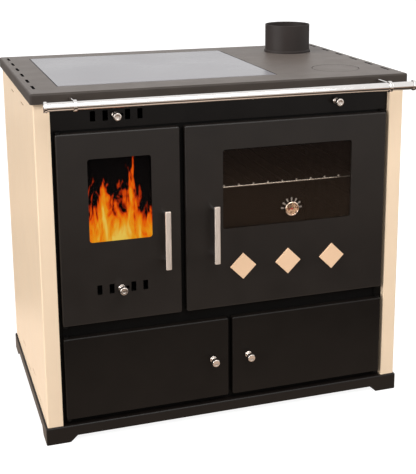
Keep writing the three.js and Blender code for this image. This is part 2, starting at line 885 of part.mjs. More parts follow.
// The gauge is drawn about its axis, with the front of the glass at y = 0.
function gaugeCase() {
  const front = -gaugeProud;
  return cut(
    revolve('y', [
      [0, front], [gaugeRadius - gaugeRound, front],
      ...bend(gaugeRadius - gaugeRound, front + gaugeRound, gaugeRound, -90, 0),
      [gaugeRadius, front + gaugeWall], [gaugeRadius - gaugeRound, front + gaugeWall + gaugeRound],
      [gaugeRadius - gaugeRound, -seat], [gaugeStem, -seat], [gaugeStem, gaugeStemLength],
      [0, gaugeStemLength],
    ], mediumRound),
    rod('y', gaugeRadius - gaugeWall, front - past, front + gaugeRecess, mediumRound),
    rod('y', needlePivot + pinPlay, front, front + gaugeRecess + needlePivotLength, tinyRound),
  );
}

function gaugeDial() {
  const back = -gaugeProud + gaugeRecess - seat;
  return cut(
    rod('y', gaugeRadius - gaugeWall - seat, back - dialThickness, back, mediumRound),
    rod('y', needlePivot + pinPlay, back - dialThickness - past, back + past, tinyRound),
  );
}

function gaugeNeedle() {
  const back = -gaugeProud + gaugeRecess - 2 * seat - dialThickness;
  const hand = new THREE.Shape()
    .moveTo(needleHub, -needleWidth / 2)
    .lineTo(needleHub, needleWidth / 2)
    .lineTo(-needleLength, needleTip / 2)
    .lineTo(-needleLength, -needleTip / 2);
  return unite([
    prism('y', hand, back - needleThickness, back),
    rod('y', needleHub, back - needleThickness, back, tinyRound),
    rod('y', needlePivot, back - needleThickness, back + needlePivotLength, tinyRound),
  ]);
}

// ---- Storage and deck ----

function storageBox() {
  const top = deckBottom - seat;
  const back = insideFront + storageDepth;
  const room = (x0, x1) => block(
    x0, x1, insideFront - past, back - storageSheet, bodyBottom + storageSheet, top - storageSheet,
  );
  return cut(
    block(-innerHalf, innerHalf, insideFront, back, bodyBottom, top),
    room(-innerHalf + storageSheet, -storageSheet / 2),
    room(storageSheet / 2, innerHalf - storageSheet),
  );
}

function deck() {
  return block(-innerHalf, innerHalf, insideFront, insideBack, deckBottom, deckTop);
}

// ---- Firebox ----

const fireLeft = -doorHalf + doorLap;
const fireRight = fireDoorRight - doorLap;
const shellLeft = fireLeft - brickThickness - seat;
const shellRight = fireRight + brickThickness + seat;
const shellBack = insideFront + fireboxDepth - fireboxSheet;
const shellTop = plateUnderside - ledgeThickness - seat;
const grateZ = deckTop + grateHeight;

function fireboxShell() {
  const floor = deckTop + seat;
  const shell = cut(
    block(
      shellLeft - fireboxSheet, shellRight + fireboxSheet, insideFront, shellBack + fireboxSheet,
      floor, shellTop,
    ),
    block(shellLeft, shellRight, insideFront - past, shellBack, floor + fireboxSheet, shellTop + past),
  );
  const ledge = cut(
    block(shellLeft - past, shellRight + past, insideFront, shellBack + past, grateZ - ledgeSheet, grateZ),
    block(
      fireDoorMiddle - grateWidth / 2 + grateRest, fireDoorMiddle + grateWidth / 2 - grateRest,
      grateBack - grateLength + grateRest, grateBack - grateRest, grateZ - ledgeSheet - past, grateZ + past,
    ),
  );
  const smokePort = block(
    shellRight - past, shellRight + fireboxSheet + past, shellBack - brickThickness - smokePortDepth,
    shellBack - brickThickness, shellTop - smokePortHeight, shellTop + past,
  );
  return cut(shell.add(ledge), smokePort);
}

function fireBrick(x0, x1, y0, y1) {
  return block(x0, x1, y0, y1, grateZ + seat, grateZ + seat + brickHeight);
}

const brickBack = shellBack - seat;
const grateBack = brickBack - brickThickness - seat;

function fireGrate() {
  const slots = Array.from({ length: grateSlots }, (_, i) => {
    const x = (i - (grateSlots - 1) / 2) * grateSlotPitch;
    return block(
      x - grateSlotWidth / 2, x + grateSlotWidth / 2, grateBack - grateLength + grateEdge,
      grateBack - grateEdge, grateZ, grateZ + past + grateThickness,
    );
  });
  const plate = block(
    -grateWidth / 2, grateWidth / 2, grateBack - grateLength, grateBack,
    grateZ + seat, grateZ + seat + grateThickness,
  );
  return cut(plate, ...slots);
}

function ashPan() {
  const half = ashWidth / 2;
  const floor = deckTop + fireboxSheet + 2 * seat;
  const front = insideFront + ashTab + fireboxSheet;
  const tray = cut(
    block(-half, half, front, front + ashDepth, floor, floor + ashHeight),
    block(
      -half + ashSheet, half - ashSheet, front + ashSheet, front + ashDepth - ashSheet,
      floor + ashSheet, reach,
    ),
  );
  const grip = block(
    -ashTabWidth / 2, ashTabWidth / 2, front - ashTab, front + past,
    floor + ashHeight - ashSheet, floor + ashHeight,
  );
  return tray.add(grip);
}

// ---- Oven ----

const ovenHalf = ovenDoorWidth / 2 - doorLap + ovenMargin;
const ovenFloor = upperDoorBottom + doorLap - ovenMargin;
const ovenTop = upperDoorTop - doorLap + ovenMargin;
const runnerLevels = Array.from({ length: runnerCount }, (_, i) => runnerFirst + i * runnerPitch);
const rackZ = ovenFloor + Math.max(...runnerLevels) + seat + rackRod;

// Drawn about the oven's middle, as the rack is.
function ovenBox() {
  const outer = ovenHalf + ovenSheet;
  const back = insideFront + ovenDepth;
  const shell = cut(
    block(-outer, outer, insideFront, back, ovenFloor - ovenSheet, ovenTop + ovenSheet),
    block(-ovenHalf, ovenHalf, insideFront - past, back - ovenSheet, ovenFloor, ovenTop),
  );
  const sides = [-1, 1].flatMap((side) => {
    const wall = side * (ovenHalf + past);
    const edge = side * (ovenHalf - runnerWidth);
    const foot = side * (outer - ovenFootInset);
    const runners = runnerLevels.map((level) => block(
      Math.min(wall, edge), Math.max(wall, edge), back - ovenSheet - runnerLength, back - ovenSheet + past,
      ovenFloor + level - runnerSheet, ovenFloor + level,
    ));
    return [...runners, block(
      foot - ovenSheet / 2, foot + ovenSheet / 2, insideFront, back, deckTop + seat, ovenFloor - past,
    )];
  });
  return unite([shell, ...sides]);
}

function ovenRack() {
  const half = ovenHalf - rackPlay - rackRod;
  const front = insideFront + rackFront;
  const back = front + rackDepth;
  const ends = [front - rackRod, back + rackRod];
  const sides = [-half, half].map((x) => rod('y', rackRod, ...ends, rackRound).translate(x, 0, 0));
  const bars = [front, back].map((y) => (
    rod('x', rackRod, -half - past, half + past, rackRound).translate(0, y, 0)
  ));
  const perSide = Math.floor((half - rackRod - rackWire) / rackWirePitch);
  const wires = Array.from({ length: 2 * perSide + 1 }, (_, i) => (
    rod('y', rackWire, ...ends, wireRound)
      .translate((i - perSide) * rackWirePitch, 0, rackRod + rackWire - rackWireSink)
  ));
  return unite([...sides, ...bars, ...wires]);
}

// ---- Smoke way and damper ----

// Three upright walls round the flue, closed by the back panel and the worktop.
function flueBox() {
  const bottom = ovenTop + ovenSheet + seat;
  const outer = flueBoxHalf + flueBoxSheet;
  return cut(
    block(flueX - outer, flueX + outer, flueBoxY, insideBack, bottom, bodyTop),
    block(flueX - flueBoxHalf, flueX + flueBoxHalf, flueBoxY + flueBoxSheet, reach, bottom - past, reach),
    block(
      damperX - damperWidth / 2 + damperLap, damperX + damperWidth / 2 - damperLap,
      flueBoxY - past, flueBoxY + flueBoxSheet + past,
      secondaryAirZ - damperHeight / 2 + damperLap, secondaryAirZ + damperHeight / 2 - damperLap,
    ),
  );
}

function damperBlade() {
  const front = flueBoxY - seat - damperSheet;
  const half = damperWidth / 2;
  return cut(
    unite([
      block(-half, half, front, front + damperSheet, -damperHeight / 2, damperHeight / 2),
      rod('y', damperRod, controlFront, front + past, smallRound),
    ]),
    rod('y', stemRadius + pinPlay, controlFront - past, controlFront + lowerKnobStud + past, tinyRound),
  );
}

// ---- Assembly ----

const stove = new THREE.Group();
// The origin is under the middle of the whole stove, towel rail included.
stove.position.y = (railReach + ringOuter) / 2;

piece(stove, 'plinth', plinth(), glossBlack);
piece(stove, 'left_side_panel', sidePanel(-1), enamel);
piece(stove, 'right_side_panel', sidePanel(1), enamel);
piece(stove, 'back_panel', backPanel(), galvanised);
piece(stove, 'front_frame', frontFrame(), glossBlack);
piece(stove, 'control_panel', controlPanel(), glossBlack);
piece(stove, 'storage_box', storageBox(), innerSteel);
piece(stove, 'deck_plate', deck(), innerSteel);

piece(stove, 'worktop', worktop(), worktopGrey);
piece(stove, 'hob_glass', hobGlass(), hobGrey);
piece(stove, 'cleaning_cover', cleaningCover(), worktopGrey, coverX, coverY, plateUnderside + seat);
piece(stove, 'flue_collar', flueCollar(), flueGrey, flueX, flueY, worktopHeight);

piece(stove, 'firebox_shell', fireboxShell(), innerSteel);
for (const [name, x0, x1, y0] of [
  ['left', shellLeft + seat, fireLeft, insideFront + brickFront],
  ['right', fireRight, shellRight - seat, insideFront + brickFront],
  ['back', fireLeft + seat, fireRight - seat, brickBack - brickThickness],
]) {
  piece(stove, `firebrick_${name}`, fireBrick(x0, x1, y0, brickBack), fireclay);
}
piece(stove, 'fire_grate', fireGrate(), castIron, fireDoorMiddle);
piece(stove, 'ash_pan', ashPan(), galvanised, fireDoorMiddle);
piece(stove, 'oven_box', ovenBox(), ovenEnamel, ovenDoorMiddle);
piece(stove, 'oven_rack', ovenRack(), chrome, ovenDoorMiddle, 0, rackZ);
piece(stove, 'flue_box', flueBox(), innerSteel);
piece(stove, 'damper_blade', damperBlade(), innerSteel, damperX, 0, secondaryAirZ);
piece(stove, 'damper_knob', knob(lowerKnobStud), satinSteel, damperX, controlFront, secondaryAirZ);

piece(stove, 'towel_rail', towelRail(), chrome, 0, railY, railZ);
for (const [side, name] of [[-1, 'left'], [1, 'right']]) {
  piece(stove, `rail_end_${name}`, railEnd(side), chrome, side * railHalf, railY, railZ);
  piece(stove, `rail_bracket_${name}`, railBracket(), chrome, side * bracketPlace, railY, railZ);
  piece(stove, `upper_hinge_${name}`, lugAbove(upperDoorTop), castIron, side * hingeX, hingeY);
  piece(stove, `middle_hinge_${name}`, middleHinge(), castIron, side * hingeX, hingeY);
  piece(stove, `lower_hinge_${name}`, lowerHinge(), castIron, side * hingeX, hingeY);

  const lowerDoor = new THREE.Group();
  lowerDoor.position.set(side * lowerDoorMiddle, doorFront, lowerDoorBottom);
  stove.add(lowerDoor);
  const knobX = -side * (lowerDoorWidth / 2 - lowerKnobFromEdge);
  const studHole = rod('y', stemRadius + pinPlay, -past, doorSheet + past, smallRound)
    .translate(knobX, 0, lowerDoorHeight / 2);
  const tray = doorTray(lowerDoorWidth, lowerDoorHeight, side);
  piece(lowerDoor, `lower_door_${name}`, cut(tray, studHole), doorBlack);
  piece(
    lowerDoor, `lower_knob_${name}`, knob(doorSheet + lowerKnobStud), satinSteel,
    knobX, 0, lowerDoorHeight / 2,
  );
}

const catchZ = upperDoorTop - doorLap;
piece(stove, 'fire_door_catch', doorCatch(), castIron, fireDoorRight - tabFromEdge, insideFront, catchZ);
piece(stove, 'oven_door_catch', doorCatch(), castIron, ovenDoorLeft + tabFromEdge, insideFront, catchZ);

const secondaryAir = new THREE.Group();
secondaryAir.position.set(fireDoorMiddle, controlFront, secondaryAirZ);
stove.add(secondaryAir);
piece(secondaryAir, 'secondary_air_plate', airPlate(), innerSteel, 0, controlSheet + 2 * seat);
piece(
  secondaryAir, 'secondary_air_knob', knob(controlSheet + 2 * seat + airPlateSheet + stemSpare),
  satinSteel, airKnobOffset,
);

const fireDoor = new THREE.Group();
fireDoor.position.set(fireDoorMiddle, doorFront, upperDoorBottom);
stove.add(fireDoor);
piece(fireDoor, 'fire_door_panel', cut(
  doorTray(fireDoorWidth, upperDoorHeight, -1).add(airGuides().translate(0, 0, primaryAirHeight)),
  windowHole(fireWindowWidth, fireWindowHeight),
  airSlots(-past, doorSheet + past).translate(0, 0, primaryAirHeight),
  stemSlot(-past, doorSheet + past).translate(0, 0, primaryAirHeight),
), doorBlack);
piece(fireDoor, 'fire_door_liner', cut(
  doorLiner(fireDoorWidth, fireWindowWidth, fireWindowHeight, -1),
  block(
    -linerAirWidth / 2, linerAirWidth / 2, doorSheet, reach,
    primaryAirHeight - linerAirHeight / 2, primaryAirHeight + linerAirHeight / 2,
  ),
), innerSteel);
piece(fireDoor, 'fire_door_glass', doorGlass(fireWindowWidth, fireWindowHeight), darkGlass);
piece(fireDoor, 'fire_door_gasket', doorGasket(fireDoorWidth), glassRope);
piece(
  fireDoor, 'fire_door_handle', doorHandle(), satinSteel,
  fireDoorWidth / 2 - fireHandleFromEdge, 0, handleMiddle,
);
piece(fireDoor, 'primary_air_plate', airPlate(), innerSteel, 0, doorSheet + seat, primaryAirHeight);
piece(
  fireDoor, 'primary_air_knob', knob(doorSheet + seat + airPlateSheet + stemSpare),
  satinSteel, airKnobOffset, 0, primaryAirHeight,
);

const ovenDoor = new THREE.Group();
ovenDoor.position.set(ovenDoorMiddle, doorFront, upperDoorBottom);
stove.add(ovenDoor);
piece(ovenDoor, 'oven_door_panel', cut(
  doorTray(ovenDoorWidth, upperDoorHeight, 1), windowHole(ovenWindowWidth, ovenWindowHeight),
), doorBlack);
piece(
  ovenDoor, 'oven_door_liner', doorLiner(ovenDoorWidth, ovenWindowWidth, ovenWindowHeight, 1),
  innerSteel,
);
piece(ovenDoor, 'oven_door_glass', cut(
  doorGlass(ovenWindowWidth, ovenWindowHeight),
  rod('y', gaugeStem + pinPlay, 0, doorThickness, mediumRound).translate(gaugeOffset, 0, gaugeHeight),
), darkGlass);
piece(ovenDoor, 'oven_door_gasket', doorGasket(ovenDoorWidth), glassRope);
piece(
  ovenDoor, 'oven_door_handle', doorHandle(), satinSteel,
  -ovenDoorWidth / 2 + ovenHandleFromEdge, 0, handleMiddle,
);
for (const place of [-1, 0, 1]) {
  const tile = piece(
    ovenDoor, `diamond_tile_${place + 2}`, diamondTile(), enamel, place * tilePitch, 0, tileHeight,
  );
  tile.rotation.y = Math.PI / 4;
}
const gauge = new THREE.Group();
gauge.position.set(gaugeOffset, doorSheet + seat, gaugeHeight);
ovenDoor.add(gauge);
piece(gauge, 'thermometer_case', gaugeCase(), chrome);
piece(gauge, 'thermometer_dial', gaugeDial(), dialWhite);
piece(gauge, 'thermometer_needle', gaugeNeedle(), needleRed);

export default stove;
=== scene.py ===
"""A wood-burning kitchen range with a cream casing, black doors, a ceramic hob and a towel rail.

Metres throughout. X runs to the right as seen from the front, Y to the back and Z up.
"""
import json
import math

import bmesh
import bpy
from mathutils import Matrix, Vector


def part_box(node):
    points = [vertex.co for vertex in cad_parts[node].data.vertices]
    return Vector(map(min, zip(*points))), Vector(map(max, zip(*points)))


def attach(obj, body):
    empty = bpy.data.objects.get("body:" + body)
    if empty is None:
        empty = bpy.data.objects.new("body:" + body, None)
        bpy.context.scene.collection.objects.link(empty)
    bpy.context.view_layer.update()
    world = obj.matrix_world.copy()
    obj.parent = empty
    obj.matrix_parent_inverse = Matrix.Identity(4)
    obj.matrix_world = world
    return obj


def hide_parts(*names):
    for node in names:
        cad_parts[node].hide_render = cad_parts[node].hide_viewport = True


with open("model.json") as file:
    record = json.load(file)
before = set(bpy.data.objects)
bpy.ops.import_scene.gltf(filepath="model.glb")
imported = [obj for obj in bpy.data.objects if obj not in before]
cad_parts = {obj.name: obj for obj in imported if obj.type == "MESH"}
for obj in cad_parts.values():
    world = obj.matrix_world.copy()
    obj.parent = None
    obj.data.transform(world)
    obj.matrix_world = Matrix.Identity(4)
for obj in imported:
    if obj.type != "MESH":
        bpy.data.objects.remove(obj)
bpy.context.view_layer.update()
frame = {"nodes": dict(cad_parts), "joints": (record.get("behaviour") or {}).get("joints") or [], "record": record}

mm = 0.001
tiny = 0.05 * mm  # two places closer than this are taken as one
FIT = 0.3 * mm  # left free between two pieces that meet


# ---- Camera ----

PHOTO_HEIGHT = 474  # pixels, the longer side
CAMERA_PLACE = (-0.7405, -2.4925, 1.2390)
CAMERA_TURN = (76.7614, -0.0448, -19.3849)  # tilt, roll and turn, degrees
FOCAL_LENGTH = 1017.4  # photo pixels
VIEW_SHIFT = (40, 86)  # photo pixels to the right and up


def make_camera():
    deselect()
    bpy.ops.object.camera_add(
        location=CAMERA_PLACE, rotation=[math.radians(angle) for angle in CAMERA_TURN])
    camera = bpy.context.object
    camera.data.lens = FOCAL_LENGTH / PHOTO_HEIGHT * camera.data.sensor_width
    camera.data.shift_x = -VIEW_SHIFT[0] / PHOTO_HEIGHT
    camera.data.shift_y = -VIEW_SHIFT[1] / PHOTO_HEIGHT
    bpy.context.scene.camera = camera


# ---- Modelling moves ----

X, Y, Z = 0, 1, 2
TURNS = {X: (0, math.pi / 2, 0), Y: (-math.pi / 2, 0, 0), Z: (0, 0, 0)}


def deselect():
    bpy.ops.object.select_all(action="DESELECT")


def take(piece):
    deselect()
    piece.select_set(True)
    bpy.context.view_layer.objects.active = piece


def block(low, high):
    low, high = Vector(low), Vector(high)
    deselect()
    bpy.ops.mesh.primitive_cube_add(size=1, location=(low + high) / 2, scale=high - low)
    bpy.ops.object.transform_apply()
    return bpy.context.object


def rod(axis, radius, middle, start, end, steps=48):
    """A round bar along an axis through a middle point, from start to end on that axis."""
    place = Vector(middle)
    place[axis] = (start + end) / 2
    deselect()
    bpy.ops.mesh.primitive_cylinder_add(
        vertices=steps, radius=radius, depth=end - start, location=place, rotation=TURNS[axis])
    bpy.ops.object.transform_apply()
    return bpy.context.object


def turned(axis, profile, middle=(0, 0, 0), steps=64):
    """A ring drawn out along a profile of radii and heights, then laid along an axis."""
    deselect()
    radius, height = profile[0]
    bpy.ops.mesh.primitive_circle_add(vertices=steps, radius=radius, location=(0, 0, height))
    piece = bpy.context.object
    bpy.ops.object.transform_apply()
    bpy.ops.object.mode_set(mode="EDIT")
    for next_radius, next_height in profile[1:]:
        bpy.ops.mesh.extrude_region_move(
            TRANSFORM_OT_translate={"value": (0, 0, next_height - height)})
        ratio = next_radius / radius
        bpy.ops.transform.resize(value=(ratio, ratio, 1), center_override=(0, 0, next_height))
        radius, height = next_radius, next_height
    bpy.ops.mesh.select_all(action="SELECT")
    bpy.ops.mesh.remove_doubles(threshold=tiny / 10)
    bpy.ops.mesh.fill_holes(sides=0)
    bpy.ops.mesh.select_all(action="SELECT")
    bpy.ops.mesh.normals_make_consistent(inside=False)
    bpy.ops.object.mode_set(mode="OBJECT")
    piece.rotation_euler = TURNS[axis]
    piece.location = middle
    bpy.ops.object.transform_apply()
    return piece


def arc(radius, height, bend, start, end, steps=6):
    """Profile points on a quarter bend, from one angle to the other in degrees."""
    angles = [math.radians(start + (end - start) * step / steps) for step in range(steps + 1)]
    return [(radius + bend * math.cos(angle), height + bend * math.sin(angle)) for angle in angles]


def runs_along(axis):
    def test(edge):
        run = edge.verts[1].co - edge.verts[0].co
        return abs(run[axis]) > 0.999 * run.length
    return test


def lies_in(axis, place):
    return lambda edge: all(abs(point.co[axis] - place) < tiny for point in edge.verts)


def faces_to(axis, sign):
    return lambda face: face.normal[axis] * sign > 0.999


def edit(piece, kind, test):
    """Opens a piece with the edges or faces that pass the test selected."""
    take(piece)
    bpy.ops.object.mode_set(mode="EDIT")
    bpy.ops.mesh.select_mode(type=kind)
    bpy.ops.mesh.select_all(action="DESELECT")
    mesh = bmesh.from_edit_mesh(piece.data)
    for element in (mesh.edges if kind == "EDGE" else mesh.faces):
        if test(element):
            element.select_set(True)
    bmesh.update_edit_mesh(piece.data)


def round_edges(piece, test, radius, segments=6):
    edit(piece, "EDGE", test)
    bpy.ops.mesh.bevel(offset=radius, segments=segments, affect="EDGES")
    bpy.ops.object.mode_set(mode="OBJECT")
    return piece


def open_side(piece, test):
    edit(piece, "FACE", test)
    bpy.ops.mesh.delete(type="FACE")
    bpy.ops.object.mode_set(mode="OBJECT")
    return piece


def modify(piece, kind, **settings):
    take(piece)
    modifier = piece.modifiers.new(kind, kind)
    for name, value in settings.items():
        setattr(modifier, name, value)
    bpy.ops.object.modifier_apply(modifier=modifier.name)
    return piece


def join(pieces):
    deselect()
    for piece in pieces:
        piece.select_set(True)
    bpy.context.view_layer.objects.active = pieces[0]
    bpy.ops.object.join()
    return pieces[0]


def combine(piece, operation, tools):
    for tool in tools:
        modify(piece, "BOOLEAN", operation=operation, object=tool, solver="EXACT")
        bpy.data.objects.remove(tool)
    return piece


def cut(piece, *tools):
    return combine(piece, "DIFFERENCE", tools)


def fuse(piece, *tools):
    return combine(piece, "UNION", tools)


def finish(piece, name, material, body, nodes=(), edge=0.0):
    """Softens the sharp edges, shades the piece and lets it ride in the place of its nodes."""
    if edge:
        modify(
            piece, "BEVEL", width=edge, segments=2, limit_method="ANGLE",
            angle_limit=math.radians(50))
    take(piece)
    bpy.ops.object.shade_smooth_by_angle(angle=math.radians(35))
    modify(piece, "WEIGHTED_NORMAL", keep_sharp=True)
    piece.name = piece.data.name = name
    piece.data.materials.clear()
    piece.data.materials.append(material)
    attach(piece, body)
    if nodes:
        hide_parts(*nodes)
    return piece


# ---- Materials ----

def surface(name, color, roughness, metallic=0.0, sockets=()):
    material = bpy.data.materials.new(name)
    material.use_nodes = True
    shader = shader_of(material)
    shader.inputs["Base Color"].default_value = (*color, 1)
    shader.inputs["Roughness"].default_value = roughness
    shader.inputs["Metallic"].default_value = metallic
    for socket, value in dict(sockets).items():
        shader.inputs[socket].default_value = value
    return material


def shader_of(material):
    return material.node_tree.nodes["Principled BSDF"]


def node(material, kind, **inputs):
    """A new node of a material or of the world, with its inputs set."""
    made = material.node_tree.nodes.new(kind)
    for name, value in inputs.items():
        made.inputs[name.replace("_", " ")].default_value = value
    return made


def link(material, output, target):
    material.node_tree.links.new(output, target)


def placed(material, stretch=(1, 1, 1), start=(0, 0, 0)):
    """The object's own place, stretched and then counted from a start."""
    place = node(material, "ShaderNodeTexCoord")
    mapping = node(material, "ShaderNodeMapping", Scale=stretch, Location=start)
    link(material, place.outputs["Object"], mapping.inputs["Vector"])
    return mapping.outputs["Vector"]


def noise(material, scale, detail=3.0, stretch=(1, 1, 1), distortion=0.0):
    """A noise value that follows the object's own place, its features 1 / scale metres across."""
    cloud = node(
        material, "ShaderNodeTexNoise", Scale=scale, Detail=detail, Distortion=distortion)
    link(material, placed(material, stretch), cloud.inputs["Vector"])
    return cloud.outputs["Fac"]


def sum_up(material, operation, first, second):
    """One step of arithmetic between two values, each a number or another node's output."""
    made = material.node_tree.nodes.new("ShaderNodeMath")
    made.operation = operation
    for socket, value in zip(made.inputs, (first, second)):
        if isinstance(value, (int, float)):
            socket.default_value = value
        else:
            link(material, value, socket)
    return made.outputs[0]


def blend(material, factor, first, second):
    """The first shader where the factor is 0, and the second where it is 1."""
    mix = node(material, "ShaderNodeMixShader")
    for socket, value in zip(mix.inputs, (factor, first, second)):
        link(material, value, socket)
    return mix.outputs["Shader"]


def ramp(material, factor, stops):
    """A colour for each value of the factor, from stops of a place and a colour."""
    made = material.node_tree.nodes.new("ShaderNodeValToRGB")
    stops = sorted(stops)
    points = made.color_ramp.elements
    while len(points) < len(stops):
        points.new(0.5)
    for point, (place, color) in zip(points, stops):
        point.position = place
        point.color = (*color, 1)
    link(material, factor, made.inputs["Fac"])
    return made.outputs["Color"]


def tint(material, factor, dark, light, low=0.3, high=0.7):
    """Spreads the colour between two shades."""
    color = ramp(material, factor, [(low, dark), (high, light)])
    link(material, color, shader_of(material).inputs["Base Color"])


def polish(material, factor, smooth, rough):
    """Spreads the roughness between two values."""
    made = node(
        material, "ShaderNodeMapRange", From_Min=0.3, From_Max=0.7, To_Min=smooth, To_Max=rough)
    link(material, factor, made.inputs["Value"])
    link(material, made.outputs["Result"], shader_of(material).inputs["Roughness"])


def bump(material, height, strength, distance):
    made = node(material, "ShaderNodeBump", Strength=strength, Distance=distance)
    link(material, height, made.inputs["Height"])
    link(material, made.outputs["Normal"], shader_of(material).inputs["Normal"])


def shade(color, factor):
    return tuple(value * factor for value in color)


def enamel(name, color, roughness):
    """Fired enamel: a smooth skin with a slight orange peel and faint clouds of colour."""
    material = surface(name, color, roughness, sockets={"Specular IOR Level": 0.16})
    tint(material, noise(material, 9, 4), shade(color, 0.975), shade(color, 1.01))
    polish(material, noise(material, 35), roughness * 0.92, roughness * 1.1)
    bump(material, noise(material, 260, 2), 0.015, 0.2 * mm)
    return material


def stove_paint(name, color, roughness, gloss, grain=0.12, sockets=()):
    """Heat-proof paint: a fine grain and soft patches where it is duller."""
    material = surface(
        name, color, roughness, sockets={"Specular IOR Level": gloss, **dict(sockets)})
    tint(material, noise(material, 14, 5), shade(color, 0.88), shade(color, 1.12))
    polish(material, noise(material, 22, 4), roughness * 0.94, roughness * 1.06)
    bump(material, noise(material, 1300, 2), grain, 0.06 * mm)
    return material


def brushed(name, color, roughness, stretch, metallic=1.0):
    """Bare steel with fine brush lines that run across the stretched axes."""
    material = surface(name, color, roughness, metallic)
    lines = noise(material, 900, 3, stretch)
    tint(material, lines, shade(color, 0.86), shade(color, 1.08))
    polish(material, noise(material, 500, 3, stretch), roughness * 0.75, roughness * 1.3)
    bump(material, lines, 0.08, 0.05 * mm)
    return material


def plated(name, color):
    material = surface(name, color, 0.07, 1.0)
    polish(material, noise(material, 60), 0.045, 0.1)
    tint(material, noise(material, 30), shade(color, 0.95), color)
    return material


def reflection_patched_steel(name, color):
    """A polished steel face with dark and bright patches painted on as reflections."""
    material = surface(name, color, 0.14, 1.0)
    tint(material, noise(material, 95, 2, distortion=1.5), shade(color, 0.22), color, 0.42, 0.56)
    polish(material, noise(material, 60), 0.1, 0.18)
    return material


def sheet_steel(name, color, roughness):
    """Plain dark sheet with rolling marks and heat stains."""
    material = surface(name, color, roughness, 0.15, {"Specular IOR Level": 0.25})
    tint(material, noise(material, 11, 6, distortion=0.6), shade(color, 0.6), shade(color, 1.35))
    polish(material, noise(material, 40, 4), roughness * 0.85, roughness * 1.15)
    bump(material, noise(material, 400, 4), 0.15, 0.1 * mm)
    return material


def zinc_sheet(name, color):
    """Galvanised sheet: pale crystals of slightly different greys."""
    material = surface(name, color, 0.45, 0.7)
    place = node(material, "ShaderNodeTexCoord")
    crystals = node(material, "ShaderNodeTexVoronoi", Scale=130.0, Randomness=1.0)
    grey = node(material, "ShaderNodeRGBToBW")
    link(material, place.outputs["Object"], crystals.inputs["Vector"])
    link(material, crystals.outputs["Color"], grey.inputs["Color"])
    tint(material, grey.outputs["Val"], shade(color, 0.9), shade(color, 1.08), 0.15, 0.85)
    polish(material, grey.outputs["Val"], 0.4, 0.5)
    return material


def casting(name, color):
    material = surface(name, color, 0.75, sockets={"Specular IOR Level": 0.15})
    tint(material, noise(material, 60, 6), shade(color, 0.6), shade(color, 1.5))
    bump(material, noise(material, 700, 5), 0.5, 0.4 * mm)
    return material


def fireclay(name, color):
    material = surface(name, color, 0.95)
    tint(material, noise(material, 45, 8), shade(color, 0.68), shade(color, 1.12))
    bump(material, noise(material, 350, 8), 0.6, 0.8 * mm)
    return material


def glass_rope(name, color):
    """Woven rope: short slanting strands that show as ribs."""
    material = surface(name, color, 0.95, sockets={"Sheen Weight": 0.25})
    place = node(material, "ShaderNodeTexCoord")
    strands = node(material, "ShaderNodeTexWave", Scale=70.0, Distortion=1.5, Detail=2.0)
    strands.bands_direction = "DIAGONAL"
    link(material, place.outputs["Object"], strands.inputs["Vector"])
    tint(material, strands.outputs["Fac"], shade(color, 0.55), shade(color, 1.25), 0.1, 0.9)
    bump(material, strands.outputs["Fac"], 0.6, 1 * mm)
    return material


def hob_ceramic(name, color):
    """Glass ceramic: a pale grey plate with a soft shine and the faintest speckle."""
    material = surface(name, color, 0.22, sockets={"Specular IOR Level": 0.35})
    tint(material, noise(material, 1500, 2), shade(color, 0.95), shade(color, 1.05))
    polish(material, noise(material, 5, 3), 0.2, 0.26)
    return material


def door_glass(name, color, gloss):
    """Heat-proof glass with a dark tint, a little uneven where warm air has dulled it."""
    material = surface(
        name, color, 0.03, sockets={"Alpha": 0.25, "IOR": 1.5, "Specular IOR Level": gloss})
    polish(material, noise(material, 12, 4), 0.015, 0.05)
    return material


def printed(name, color):
    """Baked ink, a little thinner in places."""
    material = surface(name, color, 0.6)
    tint(material, noise(material, 900, 4), shade(color, 0.8), color)
    return material


def painted_flame_glow(name, low, high):
    """Tongues of fire over a black ground, from the low to the high corner of a window, painted as firelight that
    glows from the film.
    """
    material = surface(name, (0.002, 0.0015, 0.0015), 0.9, sockets={"Specular IOR Level": 0.1})
    width, height = high.x - low.x, high.z - low.z
    corner = (-low.x / width, 0, -low.z / height)

    def window(across, up):
        return placed(material, (across / width, 0, up / height), corner)

    def flames(stretch, **settings):
        made = node(material, "ShaderNodeTexNoise", **settings)
        link(material, stretch, made.inputs["Vector"])
        return made.outputs["Fac"]

    parts = node(material, "ShaderNodeSeparateXYZ")
    link(material, window(1, 1), parts.inputs["Vector"])
    across, up = parts.outputs["X"], parts.outputs["Z"]
    tongues = flames(window(1.5, 0.62), Scale=2.6, Detail=3.0, Distortion=0.9, Roughness=0.45)
    licks = flames(window(1.3, 0.5), Scale=7.0, Detail=4.0, Distortion=1.6, Roughness=0.5)
    edge = sum_up(material, "ABSOLUTE", sum_up(material, "SUBTRACT", across, 0.5), 0)
    heat = sum_up(material, "MULTIPLY", tongues, 2.1)
    heat = sum_up(material, "ADD", heat, sum_up(material, "MULTIPLY", licks, 0.9))
    heat = sum_up(material, "SUBTRACT", heat, sum_up(material, "MULTIPLY", up, 1.25))
    heat = sum_up(material, "SUBTRACT", heat, sum_up(material, "MULTIPLY", edge, 0.9))
    heat = sum_up(material, "SUBTRACT", heat, 0.35)
    color = ramp(material, heat, [
        (0.17, (0, 0, 0)), (0.25, (0.4, 0.02, 0.0)), (0.35, (0.95, 0.1, 0.0)),
        (0.5, (1.0, 0.25, 0.003)), (0.7, (1.0, 0.4, 0.012)), (0.98, (1.0, 0.66, 0.1))])
    # The flame colours feed the emission: painted firelight from a film that is no lamp.
    shader = shader_of(material)
    link(material, color, shader.inputs["Emission Color"])
    shader.inputs["Emission Strength"].default_value = 1.3
    return material


